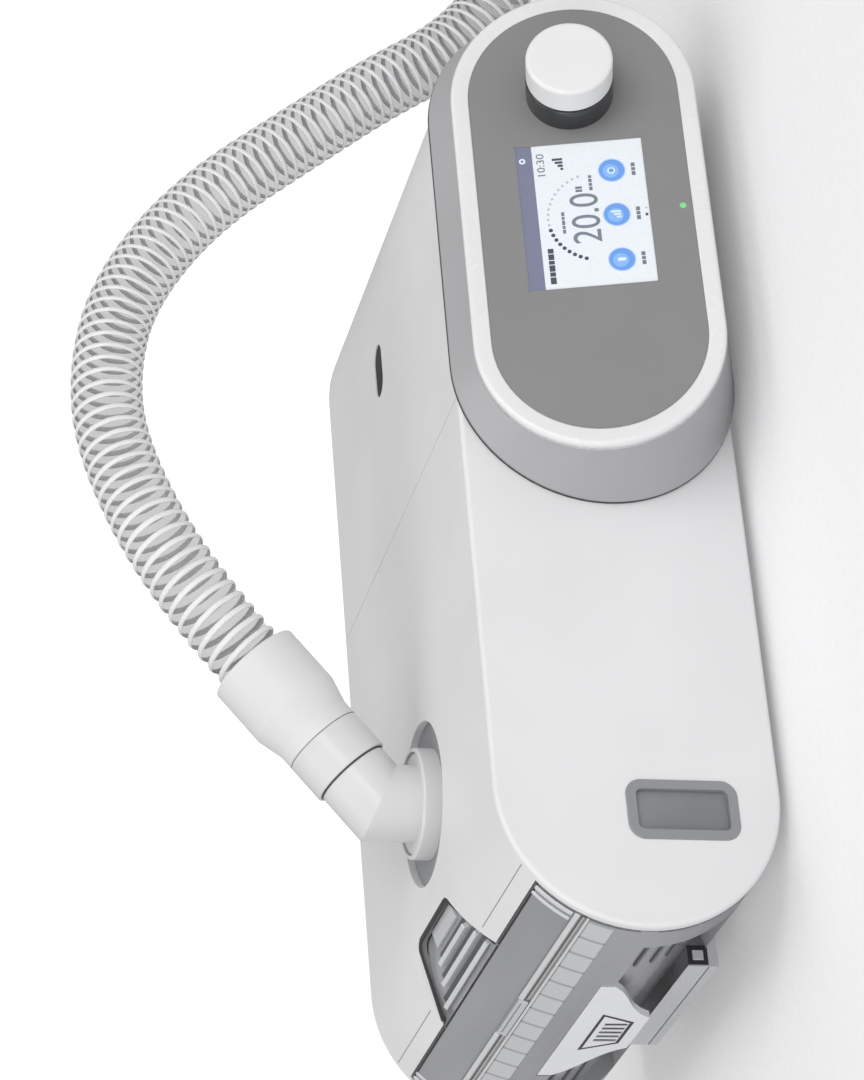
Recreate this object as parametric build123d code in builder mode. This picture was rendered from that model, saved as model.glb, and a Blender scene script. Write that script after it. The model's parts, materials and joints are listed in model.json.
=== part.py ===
"""Bedside airway-pressure machine with a slide-out humidifier tank, a tilted
control pod and a corrugated air hose.

Frame: +X runs to the machine's right, -Y is its front, +Z is up. The origin is
on the standing surface, under the middle of the machine without its hose.
"""

import os
from math import cos, pi, radians, sin, sqrt, tan

from build123d import *

os.makedirs("parts", exist_ok=True)

# ---------------------------------------------------------------- body sizes
body_height = 93.8
body_depth = 182.0
end_span = 242.0  # between the centres of the two round ends
split_from_left = 140.2  # humidifier to main unit, from the left round's centre
wall = 2.5
plate = 3.0  # front and back walls
edge_round = 1.5
gap = 0.3  # between separate pieces
foot_height = 3.5
foot_radius = 7.0
foot_round = 1.0
foot_inset = 22.0
foot_from_end = 10.0
seam_angle = 33.0  # top cover's edge on the round end, from straight up
bay_angle = 41.0  # top edge of the tank bay, from straight up
seat_width = 3.0  # inner ledges that the shells rest on
snug = 0.05  # between pieces that touch or turn in each other
over = 1.0  # how far a cut runs past the face that it opens
root = 0.5  # how far a post or rail goes into what it stands on

# ----------------------------------------------------------------- pod sizes
pod_from_left = 150.3
pod_span = 94.8
pod_over = 1.9  # pod's base beyond the body's radius
pod_collar = 2.0
pod_wall = 2.5
face_reach = 25.8  # face centre in front of the body
face_rise = 4.4  # face centre above the body's middle
face_tilt = 15.2
rim_radius = 41.5
rim_depth = 4.0
rim_proud = 0.4
rim_round = 1.2
panel_radius = 35.5
panel_thick = 2.2
screen_along = 46.9
screen_rise = 0.2
screen_width = 57.6
screen_height = 43.2
lens_thick = 1.2
module_margin = 2.4
module_thick = 4.0
board_thick = 1.6
board_depth = 8.4  # face to the control board's near side
board_half_height = 27.0
post_radius = 2.5  # posts that carry the control board
post_aside = 6.0
post_past_knob = 12.0
board_corner = 3.0
lamp_from_edge = 3.2  # above the panel's lower edge
lamp_radius = 1.1
lamp_flange = 0.4
cable_hole_span = 46.9
cable_hole_width = 23.4
cable_hole_aside = 46.9  # left of the right round's centre

# ---------------------------------------------------------------- knob sizes
knob_along = 95.6
knob_rise = 1.1
knob_radius = 14.6
knob_reach = 20.8
knob_thick = 10.2
knob_travel = 1.0
knob_round = 1.4
collar_radius = 14.8
collar_height = 9.3
knob_skin = 3.5  # cap over the end of its shaft
shaft_radius = 3.0
shaft_hole_clear = 1.0  # round the shaft in the panel
plunger_radius = 2.0
plunger_height = 1.0
encoder_width = 12.5
encoder_height = 4.4

# ---------------------------------------------------------- water tank sizes
tank_reach = 75.1  # from the left round's centre to the tank's right wall
tank_wall = 2.2
tank_side_gap = 0.6
tank_lift = 8.0  # underside of the tank above the body's underside
sill_drop = 1.0  # bay's sill below the tank
rail_width = 6.0
deck_thick = 2.2
tank_base_thick = 4.0
lid_angle = 63.5  # lid seam on the round end, from straight up
seal_thick = 1.2
seal_width = 2.0
pocket_depth = 5.0
pocket_height = 45.5  # top of the finger pockets above the body's underside
pocket_half = 74.0
groove_pitch = 12.2
groove_width = 1.4
groove_deep = 0.5
groove_angle = 71.5  # middle of the grooved band, from straight up
groove_length = 8.6
latch_thick = 2.4
latch_half_top = 40.6
latch_half_foot = 14.0
latch_foot = 26.0
latch_shoulder = 45.0
latch_band = 5.0  # straight band over the shoulder
latch_travel = 1.8
latch_pin_radius = 2.0
latch_pin_spread = 10.0
latch_slot_count = 5
latch_slot_pitch = 3.6
latch_slot_width = 2.2
latch_slot_half = 4.0
latch_slot_middle = 35.5  # above the body's underside
latch_slot_deep = 0.6
bumper_reach = 37.5
bumper_half = 36.0
bumper_thick = 7.5
bumper_height = 18.5
grip_half_wide = 37.0
grip_half_narrow = 20.0
grip_from = 30.8  # outer edge of the finger cut, left of the round's centre
grip_to = 7.5
grip_sink = 3.0
grip_clear = 0.7
grip_corner = 7.0

# -------------------------------------------------------------- window sizes
window_x = -7.3
window_z = 33.0
window_width = 20.4
window_height = 36.8
window_round = 5.4
bezel_width = 3.3
bezel_proud = 0.5
pane_thick = 1.5
pane_sink = 0.5

# ------------------------------------------------------- outlet, elbow, hose
outlet_x_from_left = 32.3
outlet_from_front = 87.6
dish_radius = 28.0
dish_depth = 2.5
dish_floor = 1.5
ring_radius = 18.8
ring_height = 4.1
ring_round = 0.8
elbow_radius = 13.0
elbow_foot_radius = 16.8
elbow_foot_thick = 1.4
ring_sink = 2.2  # recess in the ring that the elbow's foot sits in
ring_lip = 1.4
port_flange = 1.4
port_hole_clear = 1.3  # inside the ring's radius
seal_inset = 1.8
elbow_bore = 9.5
bend_rise = 15.1  # corner of the elbow above the body's top
arm_angle = 38.2  # elbow arm above the horizontal
sleeve_from = 13.7
sleeve_to = 28.4
sleeve_radius = 14.2
sleeve_gap = 0.2
sleeve_round = 0.5
spigot_radius = 11.9
spigot_to = 42.0
cuff_cone_from = 33.6
cuff_cone_to = 42.8
cuff_radius = 16.5
cuff_to = 64.6
cuff_round = 0.8
hose_radius = 13.0
hose_wall = 2.0
hose_lead = 38.6  # straight run out of the cuff
bend_share = 0.45  # of the shorter run that a bend takes up
coil_radius = 130.0
coil_turn = 545.0  # degrees, over both layers
coil_ramp_from = 255.0
coil_ramp_to = 315.0
coil_lap = 20.0
coil_layer_gap = 1.2
mask_cuff_over = 1.0  # beyond the hose's radius
mask_cuff_length = 36.0
mask_bore = 11.1
mask_bore_depth = 24.0

# -------------------------------------------------------------- heater sizes
heater_from_wall = 3.1  # heater's opening to the tank's right wall
heater_half_width = 38.0
heater_thick = 1.6
heater_film = 0.6
pad_inset = 1.0
heater_rim = 4.0
spring_radius = 3.0
spring_wire = 0.3
spring_turns = 2.5
spring_inset = 8.0  # from the heater plate's edges

# ------------------------------------------------------ start button, on top
button_from_left = 209.5
button_from_front = 101.0
button_length = 20.0
button_width = 10.6
button_thick = 3.5
button_travel = 0.8
button_sink = 0.3
switch_size = 6.0
switch_height = 2.0

# -------------------------------------------------------------- blower sizes
blower_from_left = 196.0
blower_from_front = 92.0
blower_radius = 40.0
lower_cup_height = 20.0
upper_cup_height = 20.0
blower_wall = 2.0
blower_inlet_radius = 14.0
impeller_radius = 29.0
impeller_height = 11.0
impeller_disc = 1.5
impeller_clear = 1.0
blade_count = 12
blade_thick = 1.2
blade_length = 14.5
blade_middle = 19.1  # from the axis to the blades' middles
blade_slant = 35.0
hub_radius = 6.0
motor_radius = 18.0
motor_height = 15.0
motor_shaft_radius = 2.0
bearing_radius = 5.0
bearing_height = 3.0
nozzle_from_cup = 0.5  # between the nozzle and the cup's edges
inlet_under_rim = 0.6  # tank inlet's bore below the water tub's rim
duct_wall = 1.5
nozzle_from_front = 68.0
mount_radius = 5.0
mount_circle = 33.0
mount_angles = (30, 150, 270)
air_box_height = 19.0
air_box_wall = 2.0
air_box_from_front = 4.0  # behind the blower's front edge
foam_thick = 6.0
sensor_length = 18.0
sensor_width = 12.0
sensor_height = 6.0
sensor_from_split = 22.0

# ------------------------------------------------------------ back face sizes
filter_from_left = 214.0
filter_rise = 8.0  # above the blower's top
filter_width = 44.0
filter_tall = 16.0
filter_thick = 3.0
port_from_left = 172.0
port_height = 30.0
port_width = 26.0
port_tall = 8.0
cover_margin = 3.2
cover_thick = 2.4
cover_pin_radius = 0.8
cover_pin_length = 1.2
cover_slots = 3
cover_slot_height = 1.6
recess_wall = 3.0  # round a cover's pocket
inlet_seal_thick = 3.0
frame_lap = 2.0  # seal's frame round the filter's opening
socket_from_end = 18.9  # of the right round
socket_height = 30.0
socket_radius = 6.0
socket_bore = 2.75
socket_depth = 9.0
socket_back = 1.5

# ------------------------------------------------------------- inner fittings
floor_thick = 2.5
screw_radius = 1.5
screw_head_radius = 2.8
screw_head = 2.0
boss_radius = 4.0
boss_from_wall = 11.0
boss_past_round = 14.0  # right of the right round's centre
screw_reach = 12.0  # above the body's middle
screw_sink = 0.2
board_from_left = 234.0
board_width = 27.0
board_end_gap = 18.0
board_lift = 8.0
board_post_radius = 3.0
board_post_inset = 6.0
board_post_from_edge = 5.0

# ------------------------------------------------------------ derived places
radius = body_height / 2
pod_radius = radius + pod_over
left_x = -(radius + pod_from_left + pod_span + pod_radius) / 2 + radius
right_x = left_x + end_span
split_x = left_x + split_from_left
tilt = radians(face_tilt)
front_reach = (
    face_reach
    + (knob_reach - knob_round) * cos(tilt)
    + (knob_radius - knob_round - knob_rise) * sin(tilt)
    + knob_round
)
front_y = front_reach - (front_reach + body_depth) / 2
back_y = front_y + body_depth
mid_y = (front_y + back_y) / 2
base_z = foot_height
mid_z = base_z + radius
top_z = base_z + body_height
inner_front = front_y + plate
inner_back = back_y - plate
recess_deep = cover_thick + filter_thick + 2 * gap - plate
seam_z = mid_z + radius * cos(radians(seam_angle))
bay_top = mid_z + radius * cos(radians(bay_angle))
floor_z = base_z + floor_thick
roof_z = top_z - wall
sill_z = base_z + tank_lift - sill_drop

face = Plane(
    origin=(left_x + pod_from_left, front_y - face_reach, mid_z + face_rise),
    x_dir=(1, 0, 0),
    z_dir=(0, -cos(tilt), sin(tilt)),
)

lamp_along = screen_along
lamp_drop = panel_radius - lamp_from_edge

tank_front = inner_front + tank_side_gap
tank_back = inner_back - tank_side_gap
tank_right = left_x + tank_reach
tank_low = base_z + tank_lift
tub_floor = tank_low + tank_base_thick
lid_z = mid_z + radius * cos(radians(lid_angle))
lid_top = bay_top - tank_side_gap

outlet_x = left_x + outlet_x_from_left
outlet_y = front_y + outlet_from_front
bend = Vector(outlet_x, outlet_y, top_z + bend_rise)
arm_dir = Vector(cos(radians(arm_angle)), 0, sin(radians(arm_angle)))
arm = Plane(origin=bend, x_dir=(0, 1, 0), z_dir=arm_dir)
hose_bore = hose_radius - hose_wall
dish_under = top_z - dish_depth - dish_floor
foot_z = top_z + ring_height - ring_sink
deck_z = bay_top + deck_thick
seal_under = lid_top + gap / 2
port_low = deck_z + gap
port_flange_z = dish_under - port_flange

button_x = left_x + button_from_left
button_y = front_y + button_from_front
button_low = top_z - button_sink - button_thick
switch_top = button_low - button_travel - gap / 2

blower_x = left_x + blower_from_left
blower_y = front_y + blower_from_front
box_top = switch_top - switch_height
tub_rim = lid_z - seal_thick
blower_top = box_top - air_box_height
blower_split = blower_top - upper_cup_height
blower_under = blower_split - lower_cup_height
nozzle_radius = upper_cup_height / 2 - nozzle_from_cup
nozzle_bore = nozzle_radius - duct_wall
nozzle_y = front_y + nozzle_from_front
nozzle_z = blower_split + upper_cup_height / 2
inlet_z = tub_rim - inlet_under_rim - nozzle_bore
sensor_x1 = split_x - sensor_from_split
sensor_x0 = sensor_x1 - sensor_length
lean_x0 = tank_right + wall + 2 * gap
motor_low = blower_under + blower_wall
motor_top = motor_low + motor_height
impeller_low = blower_split + impeller_clear
impeller_top = impeller_low + impeller_height


# ------------------------------------------------------------------- helpers
def block(x0, x1, y0, y1, z0, z1, mode=Mode.ADD):
    """A box between two corners."""
    with Locations(((x0 + x1) / 2, (y0 + y1) / 2, (z0 + z1) / 2)):
        Box(x1 - x0, y1 - y0, z1 - z0, mode=mode)


def post(x, y, z0, z1, r, mode=Mode.ADD):
    """An upright cylinder."""
    with Locations((x, y, (z0 + z1) / 2)):
        Cylinder(r, z1 - z0, mode=mode)


def rod_x(x0, x1, y, z, r, mode=Mode.ADD):
    """A cylinder that lies along X."""
    with Locations(Location(((x0 + x1) / 2, y, z), (0, 90, 0))):
        Cylinder(r, x1 - x0, mode=mode)


def duct_run(x0, x1, r, mode=Mode.ADD):
    """A round duct, level at both ends, that leans between the inlet's height and the nozzle's."""
    with BuildSketch(Plane.YZ.offset(lean_x0)) as inlet_end:
        with Locations((nozzle_y, inlet_z)):
            Circle(r)
    with BuildSketch(Plane.YZ.offset(sensor_x0)) as nozzle_end:
        with Locations((nozzle_y, nozzle_z)):
            Circle(r)
    extrude(inlet_end.sketch, amount=x0 - lean_x0, mode=mode)
    loft([inlet_end.sketch, nozzle_end.sketch], mode=mode)
    extrude(nozzle_end.sketch, amount=x1 - sensor_x0, mode=mode)


def rod_y(x, y0, y1, z, r, mode=Mode.ADD):
    """A cylinder that lies along Y."""
    with Locations(Location((x, (y0 + y1) / 2, z), (90, 0, 0))):
        Cylinder(r, y1 - y0, mode=mode)


def bar(y0, y1, inset=0.0, mode=Mode.ADD):
    """The body's whole stadium section between two depths."""
    with BuildSketch(Plane.XZ.offset(-y1)) as section:
        with Locations((left_x + end_span / 2, mid_z)):
            SlotCenterToCenter(end_span, 2 * (radius - inset))
    extrude(section.sketch, amount=y1 - y0, mode=mode)


def rounded_bar():
    """The body's outside, with its front and back edges rounded."""
    bar(front_y, back_y)
    fillet(edges().group_by(Axis.Y)[0], edge_round)
    fillet(edges().group_by(Axis.Y)[-1], edge_round)


def left_end(y0, y1, z0, z1, x1, inset=0.0, mode=Mode.ADD):
    """A slice of the body's left round end, out to a flat right side."""
    with BuildSketch(Plane.XZ.offset(-y1)) as section:
        with Locations((left_x, mid_z)):
            Circle(radius - inset)
        with Locations(((left_x + x1) / 2, mid_z)):
            Rectangle(x1 - left_x, 2 * (radius - inset))
        with Locations(((left_x - radius + x1) / 2, (z0 + z1) / 2)):
            Rectangle(x1 - left_x + radius, z1 - z0, mode=Mode.INTERSECT)
    extrude(section.sketch, amount=y1 - y0, mode=mode)


def finger_cut(clear, z0, z1, mode):
    """The plan of the finger cut over the tank, open to the left."""
    outer = left_x - radius - over
    points = [
        (outer, mid_y - grip_half_wide + clear),
        (left_x - grip_from, mid_y - grip_half_wide + clear),
        (left_x - grip_to - clear, mid_y - grip_half_narrow + clear),
        (left_x - grip_to - clear, mid_y + grip_half_narrow - clear),
        (left_x - grip_from, mid_y + grip_half_wide - clear),
        (outer, mid_y + grip_half_wide - clear),
    ]
    with BuildSketch(Plane.XY.offset(z0)) as plan:
        with BuildLine():
            Polyline(*points, close=True)
        make_face()
        fillet(plan.vertices().group_by(Axis.X)[-1], grip_corner)
    extrude(plan.sketch, amount=z1 - z0, mode=mode)


def face_disc(u, v, w0, w1, r, mode=Mode.ADD):
    """A round piece square to the control face."""
    with BuildSketch(face.offset(w0)) as section:
        with Locations((u, v)):
            Circle(r)
    extrude(section.sketch, amount=w1 - w0, mode=mode)


def face_block(u, v, width, height, w0, w1, corner=0.0, mode=Mode.ADD):
    """A rectangular piece square to the control face."""
    with BuildSketch(face.offset(w0)) as section:
        with Locations((u, v)):
            if corner > 0:
                RectangleRounded(width, height, corner)
            else:
                Rectangle(width, height)
    extrude(section.sketch, amount=w1 - w0, mode=mode)


def face_stadium(w0, w1, r, mode=Mode.ADD):
    """The control face's stadium outline."""
    with BuildSketch(face.offset(w0)) as section:
        with Locations((pod_span / 2, 0)):
            SlotCenterToCenter(pod_span, 2 * r)
    extrude(section.sketch, amount=w1 - w0, mode=mode)


def pod_form(inset, mode=Mode.ADD):
    """The pod's tapered body, from its collar to the back of the rim."""
    with BuildSketch(Plane.XZ.offset(-front_y + pod_collar)) as base:
        with Locations((left_x + pod_from_left + pod_span / 2, mid_z)):
            SlotCenterToCenter(pod_span, 2 * (pod_radius - inset))
    with BuildSketch(face.offset(-rim_depth)) as front:
        with Locations((pod_span / 2, 0)):
            SlotCenterToCenter(pod_span, 2 * (rim_radius - inset))
    loft([base.sketch, front.sketch], mode=mode)
    extrude(base.sketch, amount=-pod_collar, mode=mode)


def arm_disc(s0, s1, r, mode=Mode.ADD):
    """A round piece on the elbow's arm, between two distances from the bend."""
    with BuildSketch(arm.offset(s0)) as section:
        Circle(r)
    extrude(section.sketch, amount=s1 - s0, mode=mode)


def elbow_run(r, low, reach, mode=Mode.ADD):
    """A mitred round run up from the outlet and out along the arm."""
    with BuildLine() as path:
        Polyline((outlet_x, outlet_y, low), bend, bend + arm_dir * reach)
    with BuildSketch(Plane.XY.offset(low)) as section:
        with Locations((outlet_x, outlet_y)):
            Circle(r)
    sweep(section.sketch, path=path.line, transition=Transition.RIGHT, mode=mode)


def spring(x, y, z0, z1):
    """A round-wire compression spring that stands along Z."""
    rise = z1 - z0 - 2 * spring_wire
    with BuildLine() as path:
        Helix(rise / spring_turns, rise, spring_radius, center=(x, y, z0 + spring_wire))
    with BuildSketch(Plane(origin=path.line @ 0, z_dir=path.line % 0)) as wire:
        Circle(spring_wire)
    sweep(wire.sketch, path=path.line, is_frenet=True)


def hinge_line(z, tall):
    """Where a back cover turns: its depth and its height."""
    low = z - tall / 2 - cover_margin + gap
    return back_y - cover_thick / 2, low + cover_thick / 2


def back_cover(x, z, width, tall):
    """A small louvred cover that turns on two stubs at its foot."""
    pin_y, pin_z = hinge_line(z, tall)
    high = z + tall / 2 + cover_margin - gap
    half = width / 2 + cover_margin - gap
    block(x - half, x + half, back_y - cover_thick, back_y, pin_z, high)
    rod_x(x - half, x + half, pin_y, pin_z, cover_thick / 2)
    rod_x(x - half - cover_pin_length, x + half + cover_pin_length, pin_y, pin_z,
          cover_pin_radius)
    for i in range(cover_slots):
        slot_z = z - tall / 2 + (i + 0.5) * tall / cover_slots
        block(x - width / 2, x + width / 2, inner_back, back_y + over,
              slot_z - cover_slot_height / 2, slot_z + cover_slot_height / 2, Mode.SUBTRACT)


def back_recess(x, z, width, tall):
    """The pocket, opening and pin holes in the back wall for such a cover."""
    pin_y, pin_z = hinge_line(z, tall)
    low = z - tall / 2 - cover_margin
    high = z + tall / 2 + cover_margin
    half = width / 2 + cover_margin
    reach = half + cover_pin_length
    block(x - half - recess_wall, x + half + recess_wall, inner_back - recess_deep,
          inner_back, low - recess_wall, high + recess_wall)
    block(x - half, x + half, back_y - cover_thick - gap, back_y + over,
          low, high, Mode.SUBTRACT)
    block(x - width / 2, x + width / 2, inner_back - recess_deep, back_y,
          z - tall / 2, z + tall / 2, Mode.SUBTRACT)
    rod_x(x - reach, x + reach, pin_y, pin_z, cover_pin_radius + snug,
          Mode.SUBTRACT)


def write(piece, name):
    """Labels a finished piece and writes its file."""
    piece.part.label = name
    export_step(piece.part, "parts/" + name + ".step")


# ------------------------------------------------------------ places by list
foot_places = [
    (left_x + foot_from_end, front_y + foot_inset),
    (left_x + foot_from_end, back_y - foot_inset),
    (right_x - foot_from_end, front_y + foot_inset),
    (right_x - foot_from_end, back_y - foot_inset),
]
boss_rows = (front_y + boss_from_wall, back_y - boss_from_wall)
humidifier_bosses = [(split_x - boss_from_wall, y) for y in boss_rows]
main_bosses = [(x, y) for x in (split_x + boss_from_wall, right_x + boss_past_round)
               for y in boss_rows]
mount_places = [
    (blower_x + mount_circle * cos(radians(a)), blower_y + mount_circle * sin(radians(a)))
    for a in mount_angles
]
filter_x = left_x + filter_from_left
filter_z = blower_top + filter_rise
port_x = left_x + port_from_left
port_z = base_z + port_height
socket_x = right_x + radius - socket_from_end
socket_z = base_z + socket_height


def boss_top(x):
    """Height of the roof's middle over a boss."""
    past = max(0.0, x - right_x)
    return mid_z + sqrt((radius - wall / 2) ** 2 - past**2)


# ------------------------------------------------------------ humidifier end
with BuildPart() as humidifier_shell:
    rounded_bar()
    bar(inner_front, inner_back, wall, Mode.SUBTRACT)
    block(split_x - gap, right_x + 2 * radius, front_y - over, back_y + over, 0, top_z + over,
          Mode.SUBTRACT)
    block(left_x - 2 * radius, split_x, inner_front, back_y + over, 0, seam_z,
          Mode.SUBTRACT)
    block(left_x - 2 * radius, split_x, inner_back - gap, back_y + over, 0, top_z + over,
          Mode.SUBTRACT)
    finger_cut(0.0, seam_z - over, top_z + over, Mode.SUBTRACT)
    post(outlet_x, outlet_y, roof_z - over, top_z + over, dish_radius, Mode.SUBTRACT)
    for boss_x, boss_y in humidifier_bosses:
        post(boss_x, boss_y, deck_z, roof_z + wall / 2, boss_radius)
        post(boss_x, boss_y, deck_z, roof_z - over, screw_radius, Mode.SUBTRACT)
    with BuildSketch(Plane.XZ.offset(-inner_front)) as window_hole:
        with Locations((left_x + window_x, base_z + window_z)):
            RectangleRounded(window_width, window_height, window_round)
    extrude(window_hole.sketch, amount=2 * plate, mode=Mode.SUBTRACT)
write(humidifier_shell, "humidifier_shell")

with BuildPart() as humidifier_base:
    rounded_bar()
    bar(front_y - over, inner_front, -over, Mode.SUBTRACT)
    block(split_x, right_x + 2 * radius, front_y - over, back_y + over, 0, top_z + over,
          Mode.SUBTRACT)
    left_end(inner_front - over, inner_back, floor_z, bay_top, tank_right + gap, wall,
             Mode.SUBTRACT)
    block(left_x - 2 * radius, left_x, inner_front - over, inner_back, sill_z, bay_top,
          Mode.SUBTRACT)
    block(tank_right + gap + wall, split_x - wall, inner_front - over, inner_back,
          floor_z, bay_top, Mode.SUBTRACT)
    left_end(inner_front - over, inner_back, deck_z, roof_z + gap, split_x - wall, wall + gap,
             Mode.SUBTRACT)
    block(left_x - 2 * radius, split_x + over, inner_front - over, inner_back - gap,
          seam_z, top_z + over, Mode.SUBTRACT)
    finger_cut(0.0, bay_top - over, top_z + over, Mode.SUBTRACT)
    post(outlet_x, outlet_y, bay_top - over, deck_z + over, ring_radius - port_hole_clear,
         Mode.SUBTRACT)
    rod_x(tank_right, lean_x0, nozzle_y, inlet_z, nozzle_radius + gap, Mode.SUBTRACT)
    rod_x(split_x - wall - over, split_x + over, nozzle_y, nozzle_z, nozzle_radius + gap,
          Mode.SUBTRACT)
    for rail_y in (inner_front, inner_back - rail_width):
        block(left_x, tank_right, rail_y, rail_y + rail_width, floor_z - root, sill_z)
    for boss_x, boss_y in humidifier_bosses:
        post(boss_x, boss_y, floor_z - root, deck_z, boss_radius)
        post(boss_x, boss_y, base_z + screw_head, deck_z + over, screw_radius, Mode.SUBTRACT)
        post(boss_x, boss_y, base_z - over, base_z + screw_head, screw_head_radius,
             Mode.SUBTRACT)
write(humidifier_base, "humidifier_base")

with BuildPart() as window_bezel:
    with BuildSketch(Plane.XZ.offset(-inner_front)) as bezel_outline:
        with Locations((left_x + window_x, base_z + window_z)):
            RectangleRounded(window_width, window_height, window_round)
    extrude(bezel_outline.sketch, amount=plate + bezel_proud)
    fillet(edges().group_by(Axis.Y)[0], bezel_proud)
    with BuildSketch(Plane.XZ.offset(-inner_front)) as pane_hole:
        with Locations((left_x + window_x, base_z + window_z)):
            RectangleRounded(
                window_width - 2 * bezel_width,
                window_height - 2 * bezel_width,
                window_round - bezel_width,
            )
    extrude(pane_hole.sketch, amount=2 * plate, mode=Mode.SUBTRACT)
write(window_bezel, "window_bezel")

with BuildPart() as window_pane:
    with BuildSketch(Plane.XZ.offset(-inner_front + pane_sink)) as pane_outline:
        with Locations((left_x + window_x, base_z + window_z)):
            RectangleRounded(
                window_width - 2 * bezel_width,
                window_height - 2 * bezel_width,
                window_round - bezel_width,
            )
    extrude(pane_outline.sketch, amount=pane_thick)
write(window_pane, "window_pane")

with BuildPart() as outlet_dish:
    post(outlet_x, outlet_y, dish_under, roof_z, dish_radius + seat_width)
    post(outlet_x, outlet_y, dish_under - over, roof_z + over, ring_radius, Mode.SUBTRACT)
write(outlet_dish, "outlet_dish")

with BuildPart() as outlet_port:
    post(outlet_x, outlet_y, port_low, top_z + ring_height, ring_radius)
    fillet(edges().group_by(Axis.Z)[-1], ring_round)
    post(outlet_x, outlet_y, port_flange_z, dish_under, ring_radius + seat_width)
    post(outlet_x, outlet_y, foot_z, top_z + ring_height + over, ring_radius - ring_lip,
         Mode.SUBTRACT)
    post(outlet_x, outlet_y, port_low - over, top_z + ring_height + over,
         elbow_radius + snug, Mode.SUBTRACT)
write(outlet_port, "outlet_port")

with BuildPart() as outlet_seal:
    post(outlet_x, outlet_y, seal_under, port_low, ring_radius - seal_inset)
    post(outlet_x, outlet_y, seal_under - over, port_low + over, elbow_radius + gap,
         Mode.SUBTRACT)
write(outlet_seal, "outlet_seal")

# ------------------------------------------------------------------ main unit
with BuildPart() as main_shell:
    rounded_bar()
    bar(inner_front, inner_back, wall, Mode.SUBTRACT)
    block(left_x - 2 * radius, split_x, front_y - over, back_y + over, 0, top_z + over,
          Mode.SUBTRACT)
    block(split_x - over, right_x + 2 * radius, inner_front, back_y + over, 0, mid_z,
          Mode.SUBTRACT)
    block(split_x - over, right_x + 2 * radius, inner_back - gap, back_y + over, 0, top_z + over,
          Mode.SUBTRACT)
    for boss_x, boss_y in main_bosses:
        post(boss_x, boss_y, mid_z, boss_top(boss_x), boss_radius)
        post(boss_x, boss_y, mid_z - over, boss_top(boss_x) - wall, screw_radius,
             Mode.SUBTRACT)
    with BuildSketch(Plane.XZ.offset(-inner_front)) as cable_hole:
        with Locations((right_x - cable_hole_aside, mid_z)):
            SlotCenterToCenter(cable_hole_span, cable_hole_width)
    extrude(cable_hole.sketch, amount=2 * plate, mode=Mode.SUBTRACT)
    with BuildSketch(Plane.XY.offset(roof_z - over)) as button_hole:
        with Locations((button_x, button_y)):
            SlotOverall(button_length + 2 * gap, button_width + 2 * gap)
    extrude(button_hole.sketch, amount=2 * wall, mode=Mode.SUBTRACT)
write(main_shell, "main_shell")

with BuildPart() as start_button:
    with BuildSketch(Plane.XY.offset(button_low)) as button_plan:
        with Locations((button_x, button_y)):
            SlotOverall(button_length, button_width)
    extrude(button_plan.sketch, amount=button_thick)
    fillet(edges().group_by(Axis.Z)[-1], button_sink)
write(start_button, "start_button")

with BuildPart() as button_switch:
    block(button_x - switch_size / 2, button_x + switch_size / 2,
          button_y - switch_size / 2, button_y + switch_size / 2,
          box_top, switch_top)
write(button_switch, "button_switch")

with BuildPart() as main_base:
    rounded_bar()
    bar(front_y - over, inner_front, -over, Mode.SUBTRACT)
    bar(inner_front - over, inner_back, wall, Mode.SUBTRACT)
    block(left_x - 2 * radius, split_x, front_y - over, back_y + over, 0, top_z + over,
          Mode.SUBTRACT)
    block(split_x - over, right_x + 2 * radius, inner_front - over, inner_back - gap,
          mid_z, top_z + over, Mode.SUBTRACT)
    block(split_x, split_x + wall, inner_front, inner_back, floor_z - root,
          roof_z)
    rod_x(split_x - over, split_x + wall + over, nozzle_y, nozzle_z, nozzle_radius + gap,
          Mode.SUBTRACT)
    back_recess(filter_x, filter_z, filter_width, filter_tall)
    back_recess(port_x, port_z, port_width, port_tall)
    for boss_x, boss_y in main_bosses:
        post(boss_x, boss_y, base_z + wall / 2, mid_z, boss_radius)
        post(boss_x, boss_y, base_z - over, mid_z + over, screw_radius, Mode.SUBTRACT)
        post(boss_x, boss_y, base_z - over, floor_z + over, screw_head_radius, Mode.SUBTRACT)
    rod_y(socket_x, inner_back - over, back_y + over, socket_z, socket_radius, Mode.SUBTRACT)
write(main_base, "main_base")

with BuildPart() as feet:
    for foot_x, foot_y in foot_places:
        post(foot_x, foot_y, 0, base_z, foot_radius)
    fillet(edges().group_by(Axis.Z)[0], foot_round)
write(feet, "feet")

# ----------------------------------------------------------------- water tank
groove_count = int((tank_back - tank_front - 2 * groove_pitch) / groove_pitch) + 1
groove_x = left_x - radius * sin(radians(groove_angle))
groove_z = mid_z + radius * cos(radians(groove_angle))
latch_x = left_x - radius
latch_back = latch_x + latch_thick
latch_foot_z = base_z + latch_foot
shoulder_z = base_z + latch_shoulder
head_z = shoulder_z + latch_band
pocket_top = base_z + pocket_height
pocket_x = left_x - radius + pocket_depth
pin_end = pocket_x + tank_wall
inlet_radius = nozzle_bore
heater_end = tank_right - heater_from_wall
lid_left = sqrt(radius**2 - (lid_z - mid_z) ** 2)

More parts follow.
